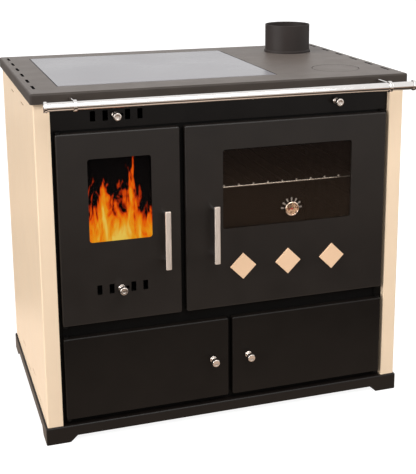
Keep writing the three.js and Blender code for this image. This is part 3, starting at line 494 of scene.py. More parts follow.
FINISHES = {
    "cream_enamel": enamel("cream_enamel", (0.9, 0.69, 0.49), 0.3),
    "black_enamel": stove_paint("black_enamel", (0.008, 0.006, 0.005), 0.36, 0.22),
    "door_enamel": stove_paint("door_enamel", (0.0135, 0.0104, 0.0086), 0.36, 0.36),
    "worktop_steel": stove_paint(
        "worktop_steel", (0.045, 0.036, 0.030), 0.45, 0.2, 0.2,
        {"Sheen Weight": 0.14, "Sheen Roughness": 0.35, "Sheen Tint": (1.0, 0.84, 0.75, 1)}),
    "flue_steel": stove_paint("flue_steel", (0.026, 0.02, 0.018), 0.5, 0.22, 0.2),
    "hob_ceramic": hob_ceramic("hob_ceramic", (0.185, 0.176, 0.19)),
    "door_glass": door_glass("door_glass", (0.02, 0.012, 0.008), 0.62),
    "chrome": plated("chrome", (0.82, 0.79, 0.77)),
    "satin_steel": brushed("satin_steel", (0.8, 0.68, 0.59), 0.42, (1, 1, 0.06), 0.6),
    "inner_steel": sheet_steel("inner_steel", (0.025, 0.022, 0.02), 0.65),
    "oven_enamel": sheet_steel("oven_enamel", (0.02, 0.012, 0.008), 0.7),
    "galvanised_sheet": zinc_sheet("galvanised_sheet", (0.42, 0.42, 0.41)),
    "cast_iron": casting("cast_iron", (0.016, 0.016, 0.017)),
    "firebrick": fireclay("firebrick", (0.52, 0.4, 0.25)),
    "gasket_rope": glass_rope("gasket_rope", (0.17, 0.16, 0.14)),
    "dial_face": reflection_patched_steel("dial_face", (1.0, 0.83, 0.68)),
    "needle_paint": printed("needle_paint", (0.4, 0.03, 0.015)),
}


# Finishes of single pieces and of details.
CONTROL_BLACK = stove_paint("control_gloss", (0.0088, 0.0074, 0.0067), 0.2, 0.115, 0.02)
# Painted shadow: a near black for the front frame and hinges, where the gaps between the doors lie in shade.
SHADOW_BLACK = stove_paint("painted_shadow_black", (0.003, 0.0025, 0.0022), 0.6, 0.1)
SOOT_BLACK = stove_paint("soot_black", (0.0012, 0.001, 0.001), 0.9, 0.05)
TILE_ENAMEL = enamel("tile_enamel", (0.87, 0.58, 0.37), 0.3)
WARM_CHROME = plated("warm_chrome", (0.8, 0.63, 0.5))
# Black for the rope seal round the hob, also used as painted shade on the walls deep in the worktop's joints and
# slots.
SEAL_AND_SHADE_BLACK = stove_paint("seal_and_shade_black", (0.004, 0.0035, 0.0035), 0.9, 0.05)
RACK_WIRES = brushed("rack_wires", (1.0, 0.84, 0.68), 0.18, (1, 1, 1), 0.85)
# Painted shade for the rack wires' sides and a painted highlight for their ends that face the front.
SHADED_WIRE_SIDES = sheet_steel("shaded_wire_sides", (0.011, 0.006, 0.004), 0.7)
LIT_WIRE_ENDS = brushed("lit_wire_ends", (1.0, 0.84, 0.7), 0.4, (1, 1, 1), 0.4)
# Painted shade: a darker, duller copy of the door enamel, for the lower doors.
SHADED_LOWER_ENAMEL = stove_paint("shaded_lower_enamel", (0.0075, 0.0057, 0.0046), 0.38, 0.15)
KNOB_STEEL = brushed("knob_steel", (0.74, 0.66, 0.6), 0.26, (1, 1, 1))
SOOTY_SHEET = sheet_steel("sooty_sheet", (0.003, 0.0026, 0.0024), 0.85)
FIRE_GLASS = door_glass("fire_glass", (0.003, 0.002, 0.002), 0.08)
MARK_INK = printed("mark_ink", (0.25, 0.205, 0.17))

OWN_FINISH = {
    "fire_door_glass": FIRE_GLASS, "oven_rack": RACK_WIRES, "control_panel": CONTROL_BLACK,
    "diamond_tile_1": TILE_ENAMEL, "diamond_tile_2": TILE_ENAMEL, "diamond_tile_3": TILE_ENAMEL,
    "thermometer_case": WARM_CHROME, "front_frame": SHADOW_BLACK,
    "primary_air_plate": SOOT_BLACK, "secondary_air_plate": SOOT_BLACK,
    "lower_door_left": SHADED_LOWER_ENAMEL, "lower_door_right": SHADED_LOWER_ENAMEL,
    "fire_door_liner": SOOTY_SHEET, "ash_pan": SOOTY_SHEET, "firebox_shell": SOOTY_SHEET,
    "fire_grate": SOOTY_SHEET, "damper_knob": KNOB_STEEL, "lower_knob_left": KNOB_STEEL,
    "lower_knob_right": KNOB_STEEL, "primary_air_knob": KNOB_STEEL,
    "secondary_air_knob": KNOB_STEEL,
}
# The hinges in the gaps take the painted shadow black too.
OWN_FINISH.update({
    f"{row}_hinge_{side}": SHADOW_BLACK
    for row in ("upper", "middle", "lower") for side in ("left", "right")
})


def dress_nodes():
    """Gives each solid its finish; most are then replaced by a finer piece."""
    for row in frame["record"]["subparts"]:
        for slot in frame["nodes"][row["node"]].material_slots:
            slot.material = OWN_FINISH.get(row["node"], FINISHES[row["material_slot"]])


BODY_OF = {
    name: body
    for body, names in frame["record"]["behaviour"]["bodies"].items() for name in names
}
SLOT_OF = {row["node"]: row["material_slot"] for row in frame["record"]["subparts"]}
JOINT_PLACE = {joint["name"]: joint.get("pos_m") for joint in frame["joints"]}


def stand_for(piece, name, edge=0.0):
    """Finishes a piece that stands for the node of the same name."""
    slot = SLOT_OF[name]
    material = OWN_FINISH.get(name, FINISHES[slot])
    return finish(piece, f"{name}_finished", material, BODY_OF[name], [name], edge)


def middle_of(name):
    low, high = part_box(name)
    return (low + high) / 2


def radius_of(name):
    """Half the width of a round piece."""
    low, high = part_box(name)
    return (high.x - low.x) / 2


# ---- Casing ----

COLUMN_WIDTH = 37 * mm
COLUMN_ROUND = 3.5 * mm
FOLD_ROUND = 1.5 * mm
PANEL_SHEET = 2 * mm
REAR_FLANGE = 22 * mm
SLIT_SIZE = (45 * mm, 3 * mm)
SLIT_PITCH = 94 * mm
UPPER_SLITS = {"count": 5, "from_back": 129 * mm, "high": 819 * mm, "low": 795 * mm}
LOWER_SLITS = {"count": 4, "from_back": 189 * mm, "high": 90 * mm, "low": 62 * mm}


def side_panel(name, side):
    """One sheet, folded at the front into the column and back, and at the rear into a flange."""
    low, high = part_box(name)
    outer = high.x if side > 0 else low.x
    middle = middle_of(name)
    column_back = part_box("front_frame")[0].y - FIT
    deselect()
    bpy.ops.mesh.primitive_plane_add(
        size=1, location=(outer, middle.y, middle.z), rotation=TURNS[X])
    sheet = bpy.context.object
    sheet.scale = (high.z - low.z, high.y - low.y, 1)
    bpy.ops.object.transform_apply()
    edit(sheet, "EDGE", lies_in(Y, low.y))
    for step in ((-side * COLUMN_WIDTH, 0, 0), (0, column_back - low.y, 0)):
        bpy.ops.mesh.extrude_region_move(TRANSFORM_OT_translate={"value": step})
    bpy.ops.object.mode_set(mode="OBJECT")
    edit(sheet, "EDGE", lies_in(Y, high.y))
    bpy.ops.mesh.extrude_region_move(
        TRANSFORM_OT_translate={"value": (-side * REAR_FLANGE, 0, 0)})
    bpy.ops.object.mode_set(mode="OBJECT")

    def fold(x, y):
        return lambda edge: all(
            abs(point.co.x - x) < tiny and abs(point.co.y - y) < tiny for point in edge.verts)
    round_edges(sheet, fold(outer, low.y), COLUMN_ROUND, 8)
    round_edges(sheet, fold(outer - side * COLUMN_WIDTH, low.y), FOLD_ROUND, 5)
    round_edges(sheet, fold(outer, high.y), FOLD_ROUND, 5)
    face = max(sheet.data.polygons, key=lambda polygon: polygon.area)
    if face.normal.x * side < 0:
        edit(sheet, "FACE", lambda face: True)
        bpy.ops.mesh.flip_normals()
        bpy.ops.object.mode_set(mode="OBJECT")
    modify(sheet, "SOLIDIFY", thickness=PANEL_SHEET, offset=-1)
    slits = []
    for row in (UPPER_SLITS, LOWER_SLITS):
        for index in range(row["count"]):
            y = high.y - row["from_back"] - index * SLIT_PITCH
            z = row["low"] if index % 2 else row["high"]
            slits.append(block(
                (outer - 2 * PANEL_SHEET, y - SLIT_SIZE[0] / 2, z - SLIT_SIZE[1] / 2),
                (outer + 2 * PANEL_SHEET, y + SLIT_SIZE[0] / 2, z + SLIT_SIZE[1] / 2)))
    cut(sheet, join(slits))
    return stand_for(sheet, name, edge=0.3 * mm)


PLINTH_ROUND = 4 * mm
PLINTH_SHEET = 3 * mm
FOOT_WIDTH = 57 * mm
FOOT_SLOPE = 17.5 * mm
ARCH_HEIGHT = 15.5 * mm


def arch_tool(axis, low, high):
    """The low space between two feet, wider below, through the plinth along an axis."""
    across = Y if axis == X else X
    bottom, top = low.copy(), high.copy()
    bottom[across] += FOOT_WIDTH - FOOT_SLOPE
    top[across] -= FOOT_WIDTH - FOOT_SLOPE
    bottom[axis] -= mm
    top[axis] += mm
    bottom.z, top.z = -ARCH_HEIGHT, ARCH_HEIGHT
    tool = block(bottom, top)
    edit(tool, "FACE", faces_to(Z, 1))
    scale = [1, 1, 1]
    scale[across] = 1 - 4 * FOOT_SLOPE / (top[across] - bottom[across])
    bpy.ops.transform.resize(value=scale, center_override=(bottom + top) / 2)
    bpy.ops.object.mode_set(mode="OBJECT")
    return tool


def plinth():
    low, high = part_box("plinth")
    base = block(low, high)
    round_edges(base, runs_along(Z), PLINTH_ROUND)
    open_side(base, faces_to(Z, -1))
    round_edges(base, lies_in(Z, high.z), PLINTH_ROUND)
    modify(base, "SOLIDIFY", thickness=PLINTH_SHEET, offset=-1)
    inset = PLINTH_SHEET / 2
    pads = [
        block((x, y, 0), (x + FOOT_WIDTH - inset, y + FOOT_WIDTH - inset, PLINTH_SHEET))
        for x in (low.x + inset, high.x - FOOT_WIDTH)
        for y in (low.y + inset, high.y - FOOT_WIDTH)
    ]
    fuse(base, *pads)
    cut(base, arch_tool(X, low, high), arch_tool(Y, low, high))
    return stand_for(base, "plinth", edge=0.3 * mm)


# ---- Worktop ----

WORKTOP_CORNER = 6 * mm
WORKTOP_ROUND = 5 * mm
WORKTOP_SHEET = 4 * mm
LEDGE_SHEET = 3.3 * mm
LEDGE_LAP = 12 * mm
LEDGE_MARGIN = 10 * mm
HOB_JOINT = 2.2 * mm
COVER_JOINT = 1.2 * mm
FLUE_JOINT = 0.6 * mm
FLUE_SEAT = 1.5 * mm
TOP_SLOT = (6.5 * mm, 46 * mm)
TOP_SLOT_ROUND = 0.49 * TOP_SLOT[0]
TOP_SLOT_COUNT = 6
TOP_SLOT_PITCH = 94.4 * mm
TOP_SLOT_FROM_EDGE = 19 * mm
TOP_SLOT_FROM_BACK = 58 * mm
PAINTED_SHADE_DEPTH = 0.5 * mm  # below this depth the walls of joints and slots carry painted shade
TOOL_REACH = 5 * mm  # how far a cutting piece stands out above the worktop


def spread(low, high, margin, bottom, top):
    """A block over a piece's outline, wider by a margin, between two heights."""
    return block(
        (low.x - margin, low.y - margin, bottom), (high.x + margin, high.y + margin, top))


def worktop():
    """A pressed top with slots, a ledge below each opening, and seats for what it carries."""
    low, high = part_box("worktop")
    top = block(low, high)
    round_edges(top, runs_along(Z), WORKTOP_CORNER)
    open_side(top, faces_to(Z, -1))
    round_edges(top, lies_in(Z, high.z), WORKTOP_ROUND, 8)
    modify(top, "SOLIDIFY", thickness=WORKTOP_SHEET, offset=-1)
    underside = high.z - WORKTOP_SHEET
    ledge = underside - LEDGE_SHEET
    above = high.z + TOOL_REACH
    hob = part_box("hob_glass")
    cover = middle_of("cleaning_cover")
    cover_radius = radius_of("cleaning_cover")
    flue = middle_of("flue_collar")
    fuse(
        top,
        spread(*hob, LEDGE_MARGIN, ledge, underside + mm),
        rod(Z, cover_radius + LEDGE_MARGIN, cover, ledge, underside + mm, 96))
    cut(
        top,
        spread(*hob, HOB_JOINT, underside, above),
        spread(*hob, -LEDGE_LAP, ledge - mm, above),
        rod(Z, cover_radius + COVER_JOINT, cover, underside, above, 128),
        rod(Z, cover_radius - LEDGE_MARGIN, cover, ledge - mm, above, 96),
        rod(Z, FLUE_TUBE_RADIUS + FLUE_JOINT, flue, ledge, above, 96),
        rod(Z, radius_of("flue_collar") + FLUE_JOINT, flue, high.z - FLUE_SEAT, above, 128))
    slots = []
    for x in (low.x + TOP_SLOT_FROM_EDGE, high.x - TOP_SLOT_FROM_EDGE):
        for index in range(TOP_SLOT_COUNT):
            y = high.y - TOP_SLOT_FROM_BACK - index * TOP_SLOT_PITCH
            slot = block(
                (x - TOP_SLOT[0] / 2, y - TOP_SLOT[1] / 2, ledge - mm),
                (x + TOP_SLOT[0] / 2, y + TOP_SLOT[1] / 2, above))
            slots.append(round_edges(slot, runs_along(Z), TOP_SLOT_ROUND, 5))
    cut(top, join(slots))
    top = stand_for(top, "worktop", edge=0.35 * mm)
    # Painted shade: the walls deep in the joints and slots are made black.
    top.data.materials.append(SEAL_AND_SHADE_BLACK)
    for face in top.data.polygons:
        middle = face.center
        inside = min(middle.x - low.x, high.x - middle.x, middle.y - low.y, high.y - middle.y)
        in_shaded_joint = inside > WORKTOP_CORNER and middle.z < high.z - PAINTED_SHADE_DEPTH
        face.material_index = 1 if in_shaded_joint and face.normal.z > -0.5 else 0
    return top


HOB_CORNER = 2 * mm
HOB_ROUND = 1.2 * mm


def hob_plate():
    low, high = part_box("hob_glass")
    plate = block(low, high)
    round_edges(plate, runs_along(Z), HOB_CORNER, 4)
    round_edges(plate, lies_in(Z, high.z), HOB_ROUND, 3)
    return stand_for(plate, "hob_glass")


SEAL_DEPTH = 2.9 * mm
SEAL_DROP = 1 * mm


def hob_seal():
    """The dark rope in the joint round the ceramic plate."""
    low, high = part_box("hob_glass")
    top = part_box("worktop")[1].z - SEAL_DROP
    seal = spread(low, high, HOB_JOINT - tiny, top - SEAL_DEPTH, top)
    cut(seal, spread(low, high, tiny, top - 2 * SEAL_DEPTH, top + mm))
    return finish(seal, "hob_seal", SEAL_AND_SHADE_BLACK, "casing")


COVER_ROUND = 0.8 * mm


def cleaning_cover():
    low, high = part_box("cleaning_cover")
    radius = radius_of("cleaning_cover")
    profile = [
        (radius * 0.5, low.z), (radius - mm, low.z), (radius, low.z + mm),
        *arc(radius - COVER_ROUND, high.z - COVER_ROUND, COVER_ROUND, 0, 90, 4),
        (radius * 0.5, high.z),
    ]
    middle = middle_of("cleaning_cover")
    return stand_for(turned(Z, profile, (middle.x, middle.y, 0), 128), "cleaning_cover")


FLUE_TUBE_RADIUS = 63 * mm
FLUE_WALL = 2.5 * mm
FLUE_BEAD_HEIGHT = 7 * mm
FLUE_BEAD_EDGE = 0.5 * mm
FLUE_LIP = 0.8 * mm


def flue_collar():
    low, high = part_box("flue_collar")
    bead = radius_of("flue_collar")
    out = bead - FLUE_TUBE_RADIUS
    worktop_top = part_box("worktop")[1].z
    seat = worktop_top - FLUE_SEAT + FIT
    inner = FLUE_TUBE_RADIUS - FLUE_WALL
    profile = [
        (inner, low.z), (FLUE_TUBE_RADIUS, low.z), (FLUE_TUBE_RADIUS, seat),
        (bead - FLUE_BEAD_EDGE, seat), (bead, seat + FLUE_BEAD_EDGE),
        *arc(bead - out, worktop_top + FLUE_BEAD_HEIGHT - out, out, 0, 90),
        *arc(FLUE_TUBE_RADIUS - FLUE_LIP, high.z - FLUE_LIP, FLUE_LIP, 0, 90, 3),
        *arc(inner + FLUE_LIP, high.z - FLUE_LIP, FLUE_LIP, 90, 180, 3),
        (inner, low.z),
    ]
    middle = middle_of("flue_collar")
    return stand_for(turned(Z, profile, (middle.x, middle.y, 0), 128), "flue_collar")


# ---- Towel rail ----

RAIL_RADIUS = 10 * mm
RAIL_WALL = 1.2 * mm
CAP_ROUND = 3 * mm
CAP_EDGE = 0.6 * mm
PLUG_LENGTH = 15 * mm
RING_RADIUS = 13.5 * mm
RING_WIDTH = 9 * mm
RING_ROUND = 2 * mm
STAY_RADIUS = 2.8 * mm
STAY_LIFT = 7 * mm


def towel_rail():
    low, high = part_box("towel_rail")
    middle = middle_of("towel_rail")
    inner = RAIL_RADIUS - RAIL_WALL
    profile = [
        (inner, low.x), (RAIL_RADIUS, low.x), (RAIL_RADIUS, high.x), (inner, high.x),
        (inner, low.x)]
    return stand_for(turned(X, profile, (0, middle.y, middle.z), 96), "towel_rail")


def rail_end(name, side):
    """A round cap with a plug inside the rail, turned for the right end and swung to the left."""
    low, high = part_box(name)
    middle = middle_of(name)
    cap_radius = (high.z - low.z) / 2
    plug_radius = RAIL_RADIUS - RAIL_WALL - FIT
    rail_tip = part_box("towel_rail")[1].x
    seat = rail_tip + FIT
    tip = high.x if side > 0 else -low.x
    profile = [
        (plug_radius, rail_tip - PLUG_LENGTH), (plug_radius, seat),
        (cap_radius - CAP_EDGE, seat), (cap_radius, seat + CAP_EDGE),
        *arc(cap_radius - CAP_ROUND, tip - CAP_ROUND, CAP_ROUND, 0, 90),
        (cap_radius * 0.3, tip),
    ]
    cap = turned(X, profile)
    if side < 0:
        cap.rotation_euler = (0, 0, math.pi)
    cap.location = (0, middle.y, middle.z)
    take(cap)
    bpy.ops.object.transform_apply()
    return stand_for(cap, name)


def rail_bracket(name):
    """A ring round the rail with a stay that runs straight into the worktop's front."""
    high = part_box(name)[1]
    middle = middle_of(name)
    rail = middle_of("towel_rail")
    bore = RAIL_RADIUS + FIT
    half = RING_WIDTH / 2
    ring = turned(X, [
        (bore, -half), *arc(RING_RADIUS - RING_ROUND, -half + RING_ROUND, RING_ROUND, -90, 0),
        *arc(RING_RADIUS - RING_ROUND, half - RING_ROUND, RING_ROUND, 0, 90),
        (bore, half), (bore, -half),
    ], (middle.x, rail.y, rail.z))
    stay = rod(Y, STAY_RADIUS, (middle.x, 0, rail.z + STAY_LIFT), rail.y + bore + mm, high.y, 32)
    fuse(ring, stay)
    return stand_for(ring, name, edge=0.5 * mm)


# ---- Doors ----

DOOR_CORNER = 5 * mm
DOOR_ROUND = 4 * mm
DOOR_SHEET = 3 * mm
WINDOW_CORNER = 7 * mm
WINDOW_BOTTOM = 199 * mm
WINDOWS = {
    "fire_door_panel": (149 * mm, 199 * mm),
    "oven_door_panel": (336 * mm, 197 * mm),
}
PIN_HOLE = 3.3 * mm  # this and the next two are radii
STUD_HOLE = 3.3 * mm
PULL_HOLE = 5.3 * mm
PANEL_EDGE = 0.4 * mm


def window_of(name):
    """The corners of a door's window on the front of its panel."""
    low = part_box(name)[0]
    width, height = WINDOWS[name]
    start = Vector((middle_of(name).x - width / 2, low.y, low.z + WINDOW_BOTTOM))
    return start, start + Vector((width, 0, height))


def window_tool(name):
    start, end = window_of(name)
    tool = block((start.x, start.y - mm, start.z), (end.x, end.y + 2 * DOOR_SHEET, end.z))
    return round_edges(tool, runs_along(Y), WINDOW_CORNER, 8)


def door_tray(name, hinge, *tools):
    """A pressed panel, open behind, with a hole for the hinge pin."""
    low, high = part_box(name)
    tray = block(low, high)
    round_edges(tray, runs_along(Y), DOOR_CORNER)
    open_side(tray, faces_to(Y, 1))
    round_edges(tray, lies_in(Y, low.y), DOOR_ROUND)
    modify(tray, "SOLIDIFY", thickness=DOOR_SHEET, offset=-1)
    pin = JOINT_PLACE[hinge]
    cut(tray, rod(Z, PIN_HOLE, pin, low.z - mm, high.z + mm, 24), *tools)
    return stand_for(tray, name, edge=PANEL_EDGE)


FILM_MARGIN = 3 * mm
FILM_DEPTH = 0.15 * mm
FILM_GAP = 0.05 * mm


def flame_film():
    """A glowing picture of a fire, painted firelight, on a thin film just behind the fire door's glass."""
    start, end = window_of("fire_door_panel")
    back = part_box("fire_door_glass")[1].y + FILM_GAP
    film = block(
        (start.x - FILM_MARGIN, back, start.z - FILM_MARGIN),
        (end.x + FILM_MARGIN, back + FILM_DEPTH, end.z + FILM_MARGIN))
    round_edges(film, runs_along(Y), WINDOW_CORNER, 4)
    finish(film, "flame_film", painted_flame_glow("painted_flame_glow", start, end), "fire_door")
    # Only the front of the film carries the painted firelight; its back and sides are plain steel.
    film.data.materials.append(FINISHES["inner_steel"])
    for face in film.data.polygons:
        face.material_index = 0 if face.normal.y < -0.5 else 1
    return film


AIR_SLOT = (12 * mm, 24 * mm)
AIR_SLOT_CORNER = 1.5 * mm
AIR_SLOT_PLACES = (-55 * mm, -26 * mm, 26 * mm, 55 * mm)
STEM_SLOT = (22.2 * mm, 7.2 * mm)
STEM_SLOT_PLACE = 4.5 * mm
PRIMARY_AIR_HEIGHT = 82 * mm
SECONDARY_KNOB_SIDE = 3 * mm  # how far its knob rests to the left of the middle of the slots


def air_tools(middle, front):
    """Four upright slots and the knob's own slot between them, through a sheet at the front."""
    tools = []
    sizes = [(x, *AIR_SLOT) for x in AIR_SLOT_PLACES] + [(STEM_SLOT_PLACE, *STEM_SLOT)]
    for x, width, height in sizes:
        tool = block(
            (middle.x + x - width / 2, front - mm, middle.z - height / 2),
            (middle.x + x + width / 2, front + 2 * DOOR_SHEET, middle.z + height / 2))
        tools.append(round_edges(tool, runs_along(Y), AIR_SLOT_CORNER, 3))
    return join(tools)


def fire_door():
    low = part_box("fire_door_panel")[0]
    middle = middle_of("fire_door_panel")
    middle.z = low.z + PRIMARY_AIR_HEIGHT
    return door_tray(
        "fire_door_panel", "fire_door_hinge", window_tool("fire_door_panel"),
        air_tools(middle, low.y))


def storage_door(name, hinge, pull):
    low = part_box(name)[0]
    stud = rod(Y, STUD_HOLE, middle_of(pull), low.y - mm, low.y + 2 * DOOR_SHEET, 24)
    return door_tray(name, hinge, stud)


def control_panel():
    low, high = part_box("control_panel")
    panel = block(low, high)
    slots = middle_of("secondary_air_knob")
    slots.x += SECONDARY_KNOB_SIDE
    pull = middle_of("damper_knob")
    cut(panel, air_tools(slots, low.y), rod(Y, PULL_HOLE, pull, low.y - mm, high.y + mm))
    return stand_for(panel, "control_panel", edge=PANEL_EDGE)


# ---- Handles and knobs ----

HANDLE_DEPTH = 7 * mm
HANDLE_TRIM = 1.2 * mm
HANDLE_ROUND = 3 * mm
HANDLE_END = 1.5 * mm
POST_RADIUS = 4.5 * mm
POST_INSET = 14 * mm


def door_handle(name):
    low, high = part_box(name)
    bar = block(
        (low.x + HANDLE_TRIM, low.y, low.z), (high.x - HANDLE_TRIM, low.y + HANDLE_DEPTH, high.z))
    round_edges(bar, runs_along(Z), HANDLE_ROUND, 6)
    round_edges(bar, lies_in(Z, low.z), HANDLE_END, 3)
    round_edges(bar, lies_in(Z, high.z), HANDLE_END, 3)
    middle = middle_of(name)
    posts = []
    for z in (low.z + POST_INSET, high.z - POST_INSET):
        posts.append(rod(Y, POST_RADIUS, (middle.x, 0, z), low.y + HANDLE_DEPTH / 2, high.y, 32))
    fuse(bar, *posts)
    handle = stand_for(bar, name, edge=0.4 * mm)
    handle.data.materials.append(FINISHES["chrome"])
    for face in handle.data.polygons:
        face.material_index = 1 if face.center.y > low.y + HANDLE_DEPTH + tiny else 0
    return handle


KNOB_HEAD = 13 * mm
KNOB_RADIUS = 9.3 * mm
KNOB_ROUND = 2 * mm
KNOB_NECK = 4 * mm
KNOB_BASE_RADIUS = 8 * mm
KNOB_BASE = 3 * mm
KNOB_BASE_EDGE = 0.8 * mm
KNOB_DIMPLE = [  # radius and depth, from the middle outwards
    (1.0 * mm, 0.56 * mm), (1.65 * mm, 0.8 * mm), (4.3 * mm, 0.64 * mm), (5.1 * mm, 0.15 * mm),
    (5.5 * mm, 0)]
KNOB_LENGTH = 28 * mm
STEM_RADIUS = 3 * mm


def knob(name):
    low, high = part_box(name)
    middle = middle_of(name)
    front = low.y
    foot = front + KNOB_LENGTH - FIT
    base = foot - KNOB_BASE
    head = front + KNOB_HEAD
    profile = [
        *[(radius, front + depth) for radius, depth in KNOB_DIMPLE],
        *arc(KNOB_RADIUS - KNOB_ROUND, front + KNOB_ROUND, KNOB_ROUND, -90, 0),
        *arc(KNOB_RADIUS - KNOB_ROUND, head - KNOB_ROUND, KNOB_ROUND, 0, 60, 4),
        (KNOB_NECK + mm, head), (KNOB_NECK, head + mm),
        (KNOB_NECK, base - mm), (KNOB_NECK + mm, base),
        (KNOB_BASE_RADIUS - KNOB_BASE_EDGE, base),
        (KNOB_BASE_RADIUS, base + KNOB_BASE_EDGE), (KNOB_BASE_RADIUS, foot),
        (STEM_RADIUS, foot), (STEM_RADIUS, high.y),
    ]
    return stand_for(turned(Y, profile, (middle.x, 0, middle.z), 48), name)


# ---- Oven door trim ----

TILE_ROUND = 1.2 * mm


def diamond_tile(name):
    low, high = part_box(name)
    side = (high.x - low.x) / math.sqrt(2)
    deselect()
    bpy.ops.mesh.primitive_cube_add(
        size=1, location=middle_of(name), rotation=(0, math.pi / 4, 0),
        scale=(side, high.y - low.y, side))
    bpy.ops.object.transform_apply()
    tile = bpy.context.object
    round_edges(tile, runs_along(Y), TILE_ROUND, 4)
    round_edges(tile, lies_in(Y, low.y), TILE_ROUND, 4)
    return stand_for(tile, name)


GAUGE_WALL = 3 * mm
GAUGE_ROUND = 2 * mm
GAUGE_RECESS = 3.4 * mm
GAUGE_DEPTH = 6.7 * mm
GAUGE_STEM = 5 * mm
GAUGE_BORE = 1.3 * mm
GAUGE_BORE_DEPTH = 4 * mm
GAUGE_LIP = 0.8 * mm


def thermometer_case():
    low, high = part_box("thermometer_case")
    middle = middle_of("thermometer_case")
    radius = radius_of("thermometer_case")
    floor = low.y + GAUGE_RECESS
    back = low.y + GAUGE_DEPTH
    well = radius - GAUGE_WALL
    profile = [
        (GAUGE_BORE, floor + GAUGE_BORE_DEPTH), (GAUGE_BORE, floor), (well, floor),
        (well, low.y + mm), *arc(well + GAUGE_LIP, low.y + GAUGE_LIP, GAUGE_LIP, 180, 270, 3),
        *arc(radius - GAUGE_ROUND, low.y + GAUGE_ROUND, GAUGE_ROUND, -90, 0),
        (radius, low.y + GAUGE_WALL), (radius - GAUGE_ROUND, low.y + GAUGE_WALL + GAUGE_ROUND),
        (radius - GAUGE_ROUND, back), (GAUGE_STEM, back), (GAUGE_STEM, high.y),
    ]
    return stand_for(turned(Y, profile, (middle.x, 0, middle.z)), "thermometer_case")


SPINDLE_RADIUS = 1 * mm
HUB_FACE = 2.2 * mm
HUB_RADIUS = 2.6 * mm
HUB_SLOPE = 0.3 * mm
HUB_THICKNESS = 0.7 * mm
HAND_WIDTH = 1.6 * mm
HAND_NARROW = 0.3  # of the width, at the tip
HAND_FRONT, HAND_BACK = 0.1 * mm, 0.6 * mm  # behind the front of the hub


def thermometer_needle():
    low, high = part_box("thermometer_needle")
    x, _, z = JOINT_PLACE["thermometer_turn"]
    back = low.y + HUB_THICKNESS
    hub = turned(Y, [
        (SPINDLE_RADIUS, low.y), (HUB_FACE, low.y), (HUB_RADIUS, low.y + HUB_SLOPE),
        (HUB_RADIUS, back), (SPINDLE_RADIUS, back), (SPINDLE_RADIUS, high.y),
    ], (x, 0, z), 32)
    hand = block(
        (low.x, low.y + HAND_FRONT, z - HAND_WIDTH / 2),
        (x, low.y + HAND_BACK, z + HAND_WIDTH / 2))
    edit(hand, "FACE", faces_to(X, -1))
    bpy.ops.transform.resize(value=(1, 1, HAND_NARROW), center_override=(low.x, low.y, z))
    bpy.ops.object.mode_set(mode="OBJECT")
    fuse(hub, hand)
    return stand_for(hub, "thermometer_needle", edge=0.1 * mm)


TICK_COUNT = 7
TICK_FROM = 18 * mm
TICK_TO = 28 * mm
TICK_WIDTH = 6 * mm
TICK_NARROW = 0.4  # of the width, at the inner end
TICK_ROUND = 2.9 * mm
TICK_FIRST = 174  # degrees from the right, counted upwards
TICK_STEP = 28.3
TICK_INK = 0.12 * mm


def thermometer_ticks():
    """Plain marks printed on the glass round the upper half of the thermometer."""
    case = middle_of("thermometer_case")
    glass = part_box("oven_door_glass")[0].y
    marks = []
    for index in range(TICK_COUNT):
        mark = block((TICK_FROM, -TICK_INK, -TICK_WIDTH / 2), (TICK_TO, 0, TICK_WIDTH / 2))
        edit(mark, "FACE", faces_to(X, -1))
        bpy.ops.transform.resize(value=(1, 1, TICK_NARROW), center_override=(TICK_FROM, 0, 0))
        bpy.ops.object.mode_set(mode="OBJECT")
        outer_end = lies_in(X, TICK_TO)
        along = runs_along(Y)
        round_edges(mark, lambda edge: outer_end(edge) and along(edge), TICK_ROUND, 5)
        mark.rotation_euler = (0, -math.radians(TICK_FIRST - index * TICK_STEP), 0)
        mark.location = (case.x, glass, case.z)
        take(mark)
        bpy.ops.object.transform_apply()
        marks.append(mark)
    return finish(join(marks), "thermometer_marks", MARK_INK, "oven_door")


# ---- Oven rack ----

RACK_ROD = 3 * mm  # this and the next two are radii
RACK_CROSS = 2.2 * mm
RACK_WIRE = 2.5 * mm
RACK_WIRE_PITCH = 38 * mm
RACK_WELD = 0.5 * mm  # how deep the wires sink into the cross rods
RACK_WIRE_FOOT = 0.6 * mm  # the lowest part of a wire, which keeps the rack's own finish


def oven_rack():
    low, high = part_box("oven_rack")
    middle = middle_of("oven_rack")
    rail = low.z + RACK_ROD
    bars = []
    for x in (low.x + RACK_ROD, high.x - RACK_ROD):
        bars.append(rod(Y, RACK_ROD, (x, 0, rail), low.y, high.y, 24))
    for y in (low.y + RACK_CROSS, high.y - RACK_CROSS):
        place = (0, y, high.z - 2 * RACK_WIRE - RACK_CROSS + RACK_WELD)
        bars.append(rod(X, RACK_CROSS, place, low.x + RACK_ROD, high.x - RACK_ROD, 24))
    count = int((high.x - low.x) / RACK_WIRE_PITCH) + 1
    for index in range(count):
        x = middle.x + (index - (count - 1) / 2) * RACK_WIRE_PITCH
        bars.append(rod(Y, RACK_WIRE, (x, 0, high.z - RACK_WIRE), low.y, high.y, 16))
    rack = stand_for(join(bars), "oven_rack", edge=0.4 * mm)
    # The wire sides take a painted shade finish and the wire ends facing the front a painted highlight finish.
    rack.data.materials.append(SHADED_WIRE_SIDES)
    rack.data.materials.append(LIT_WIRE_ENDS)
    for face in rack.data.polygons:
        on_wire = face.center.z > high.z - 2 * RACK_WIRE + RACK_WIRE_FOOT
        face.material_index = (2 if face.normal.y < -0.3 else 1) if on_wire else 0
    return rack


# ---- Studio ----

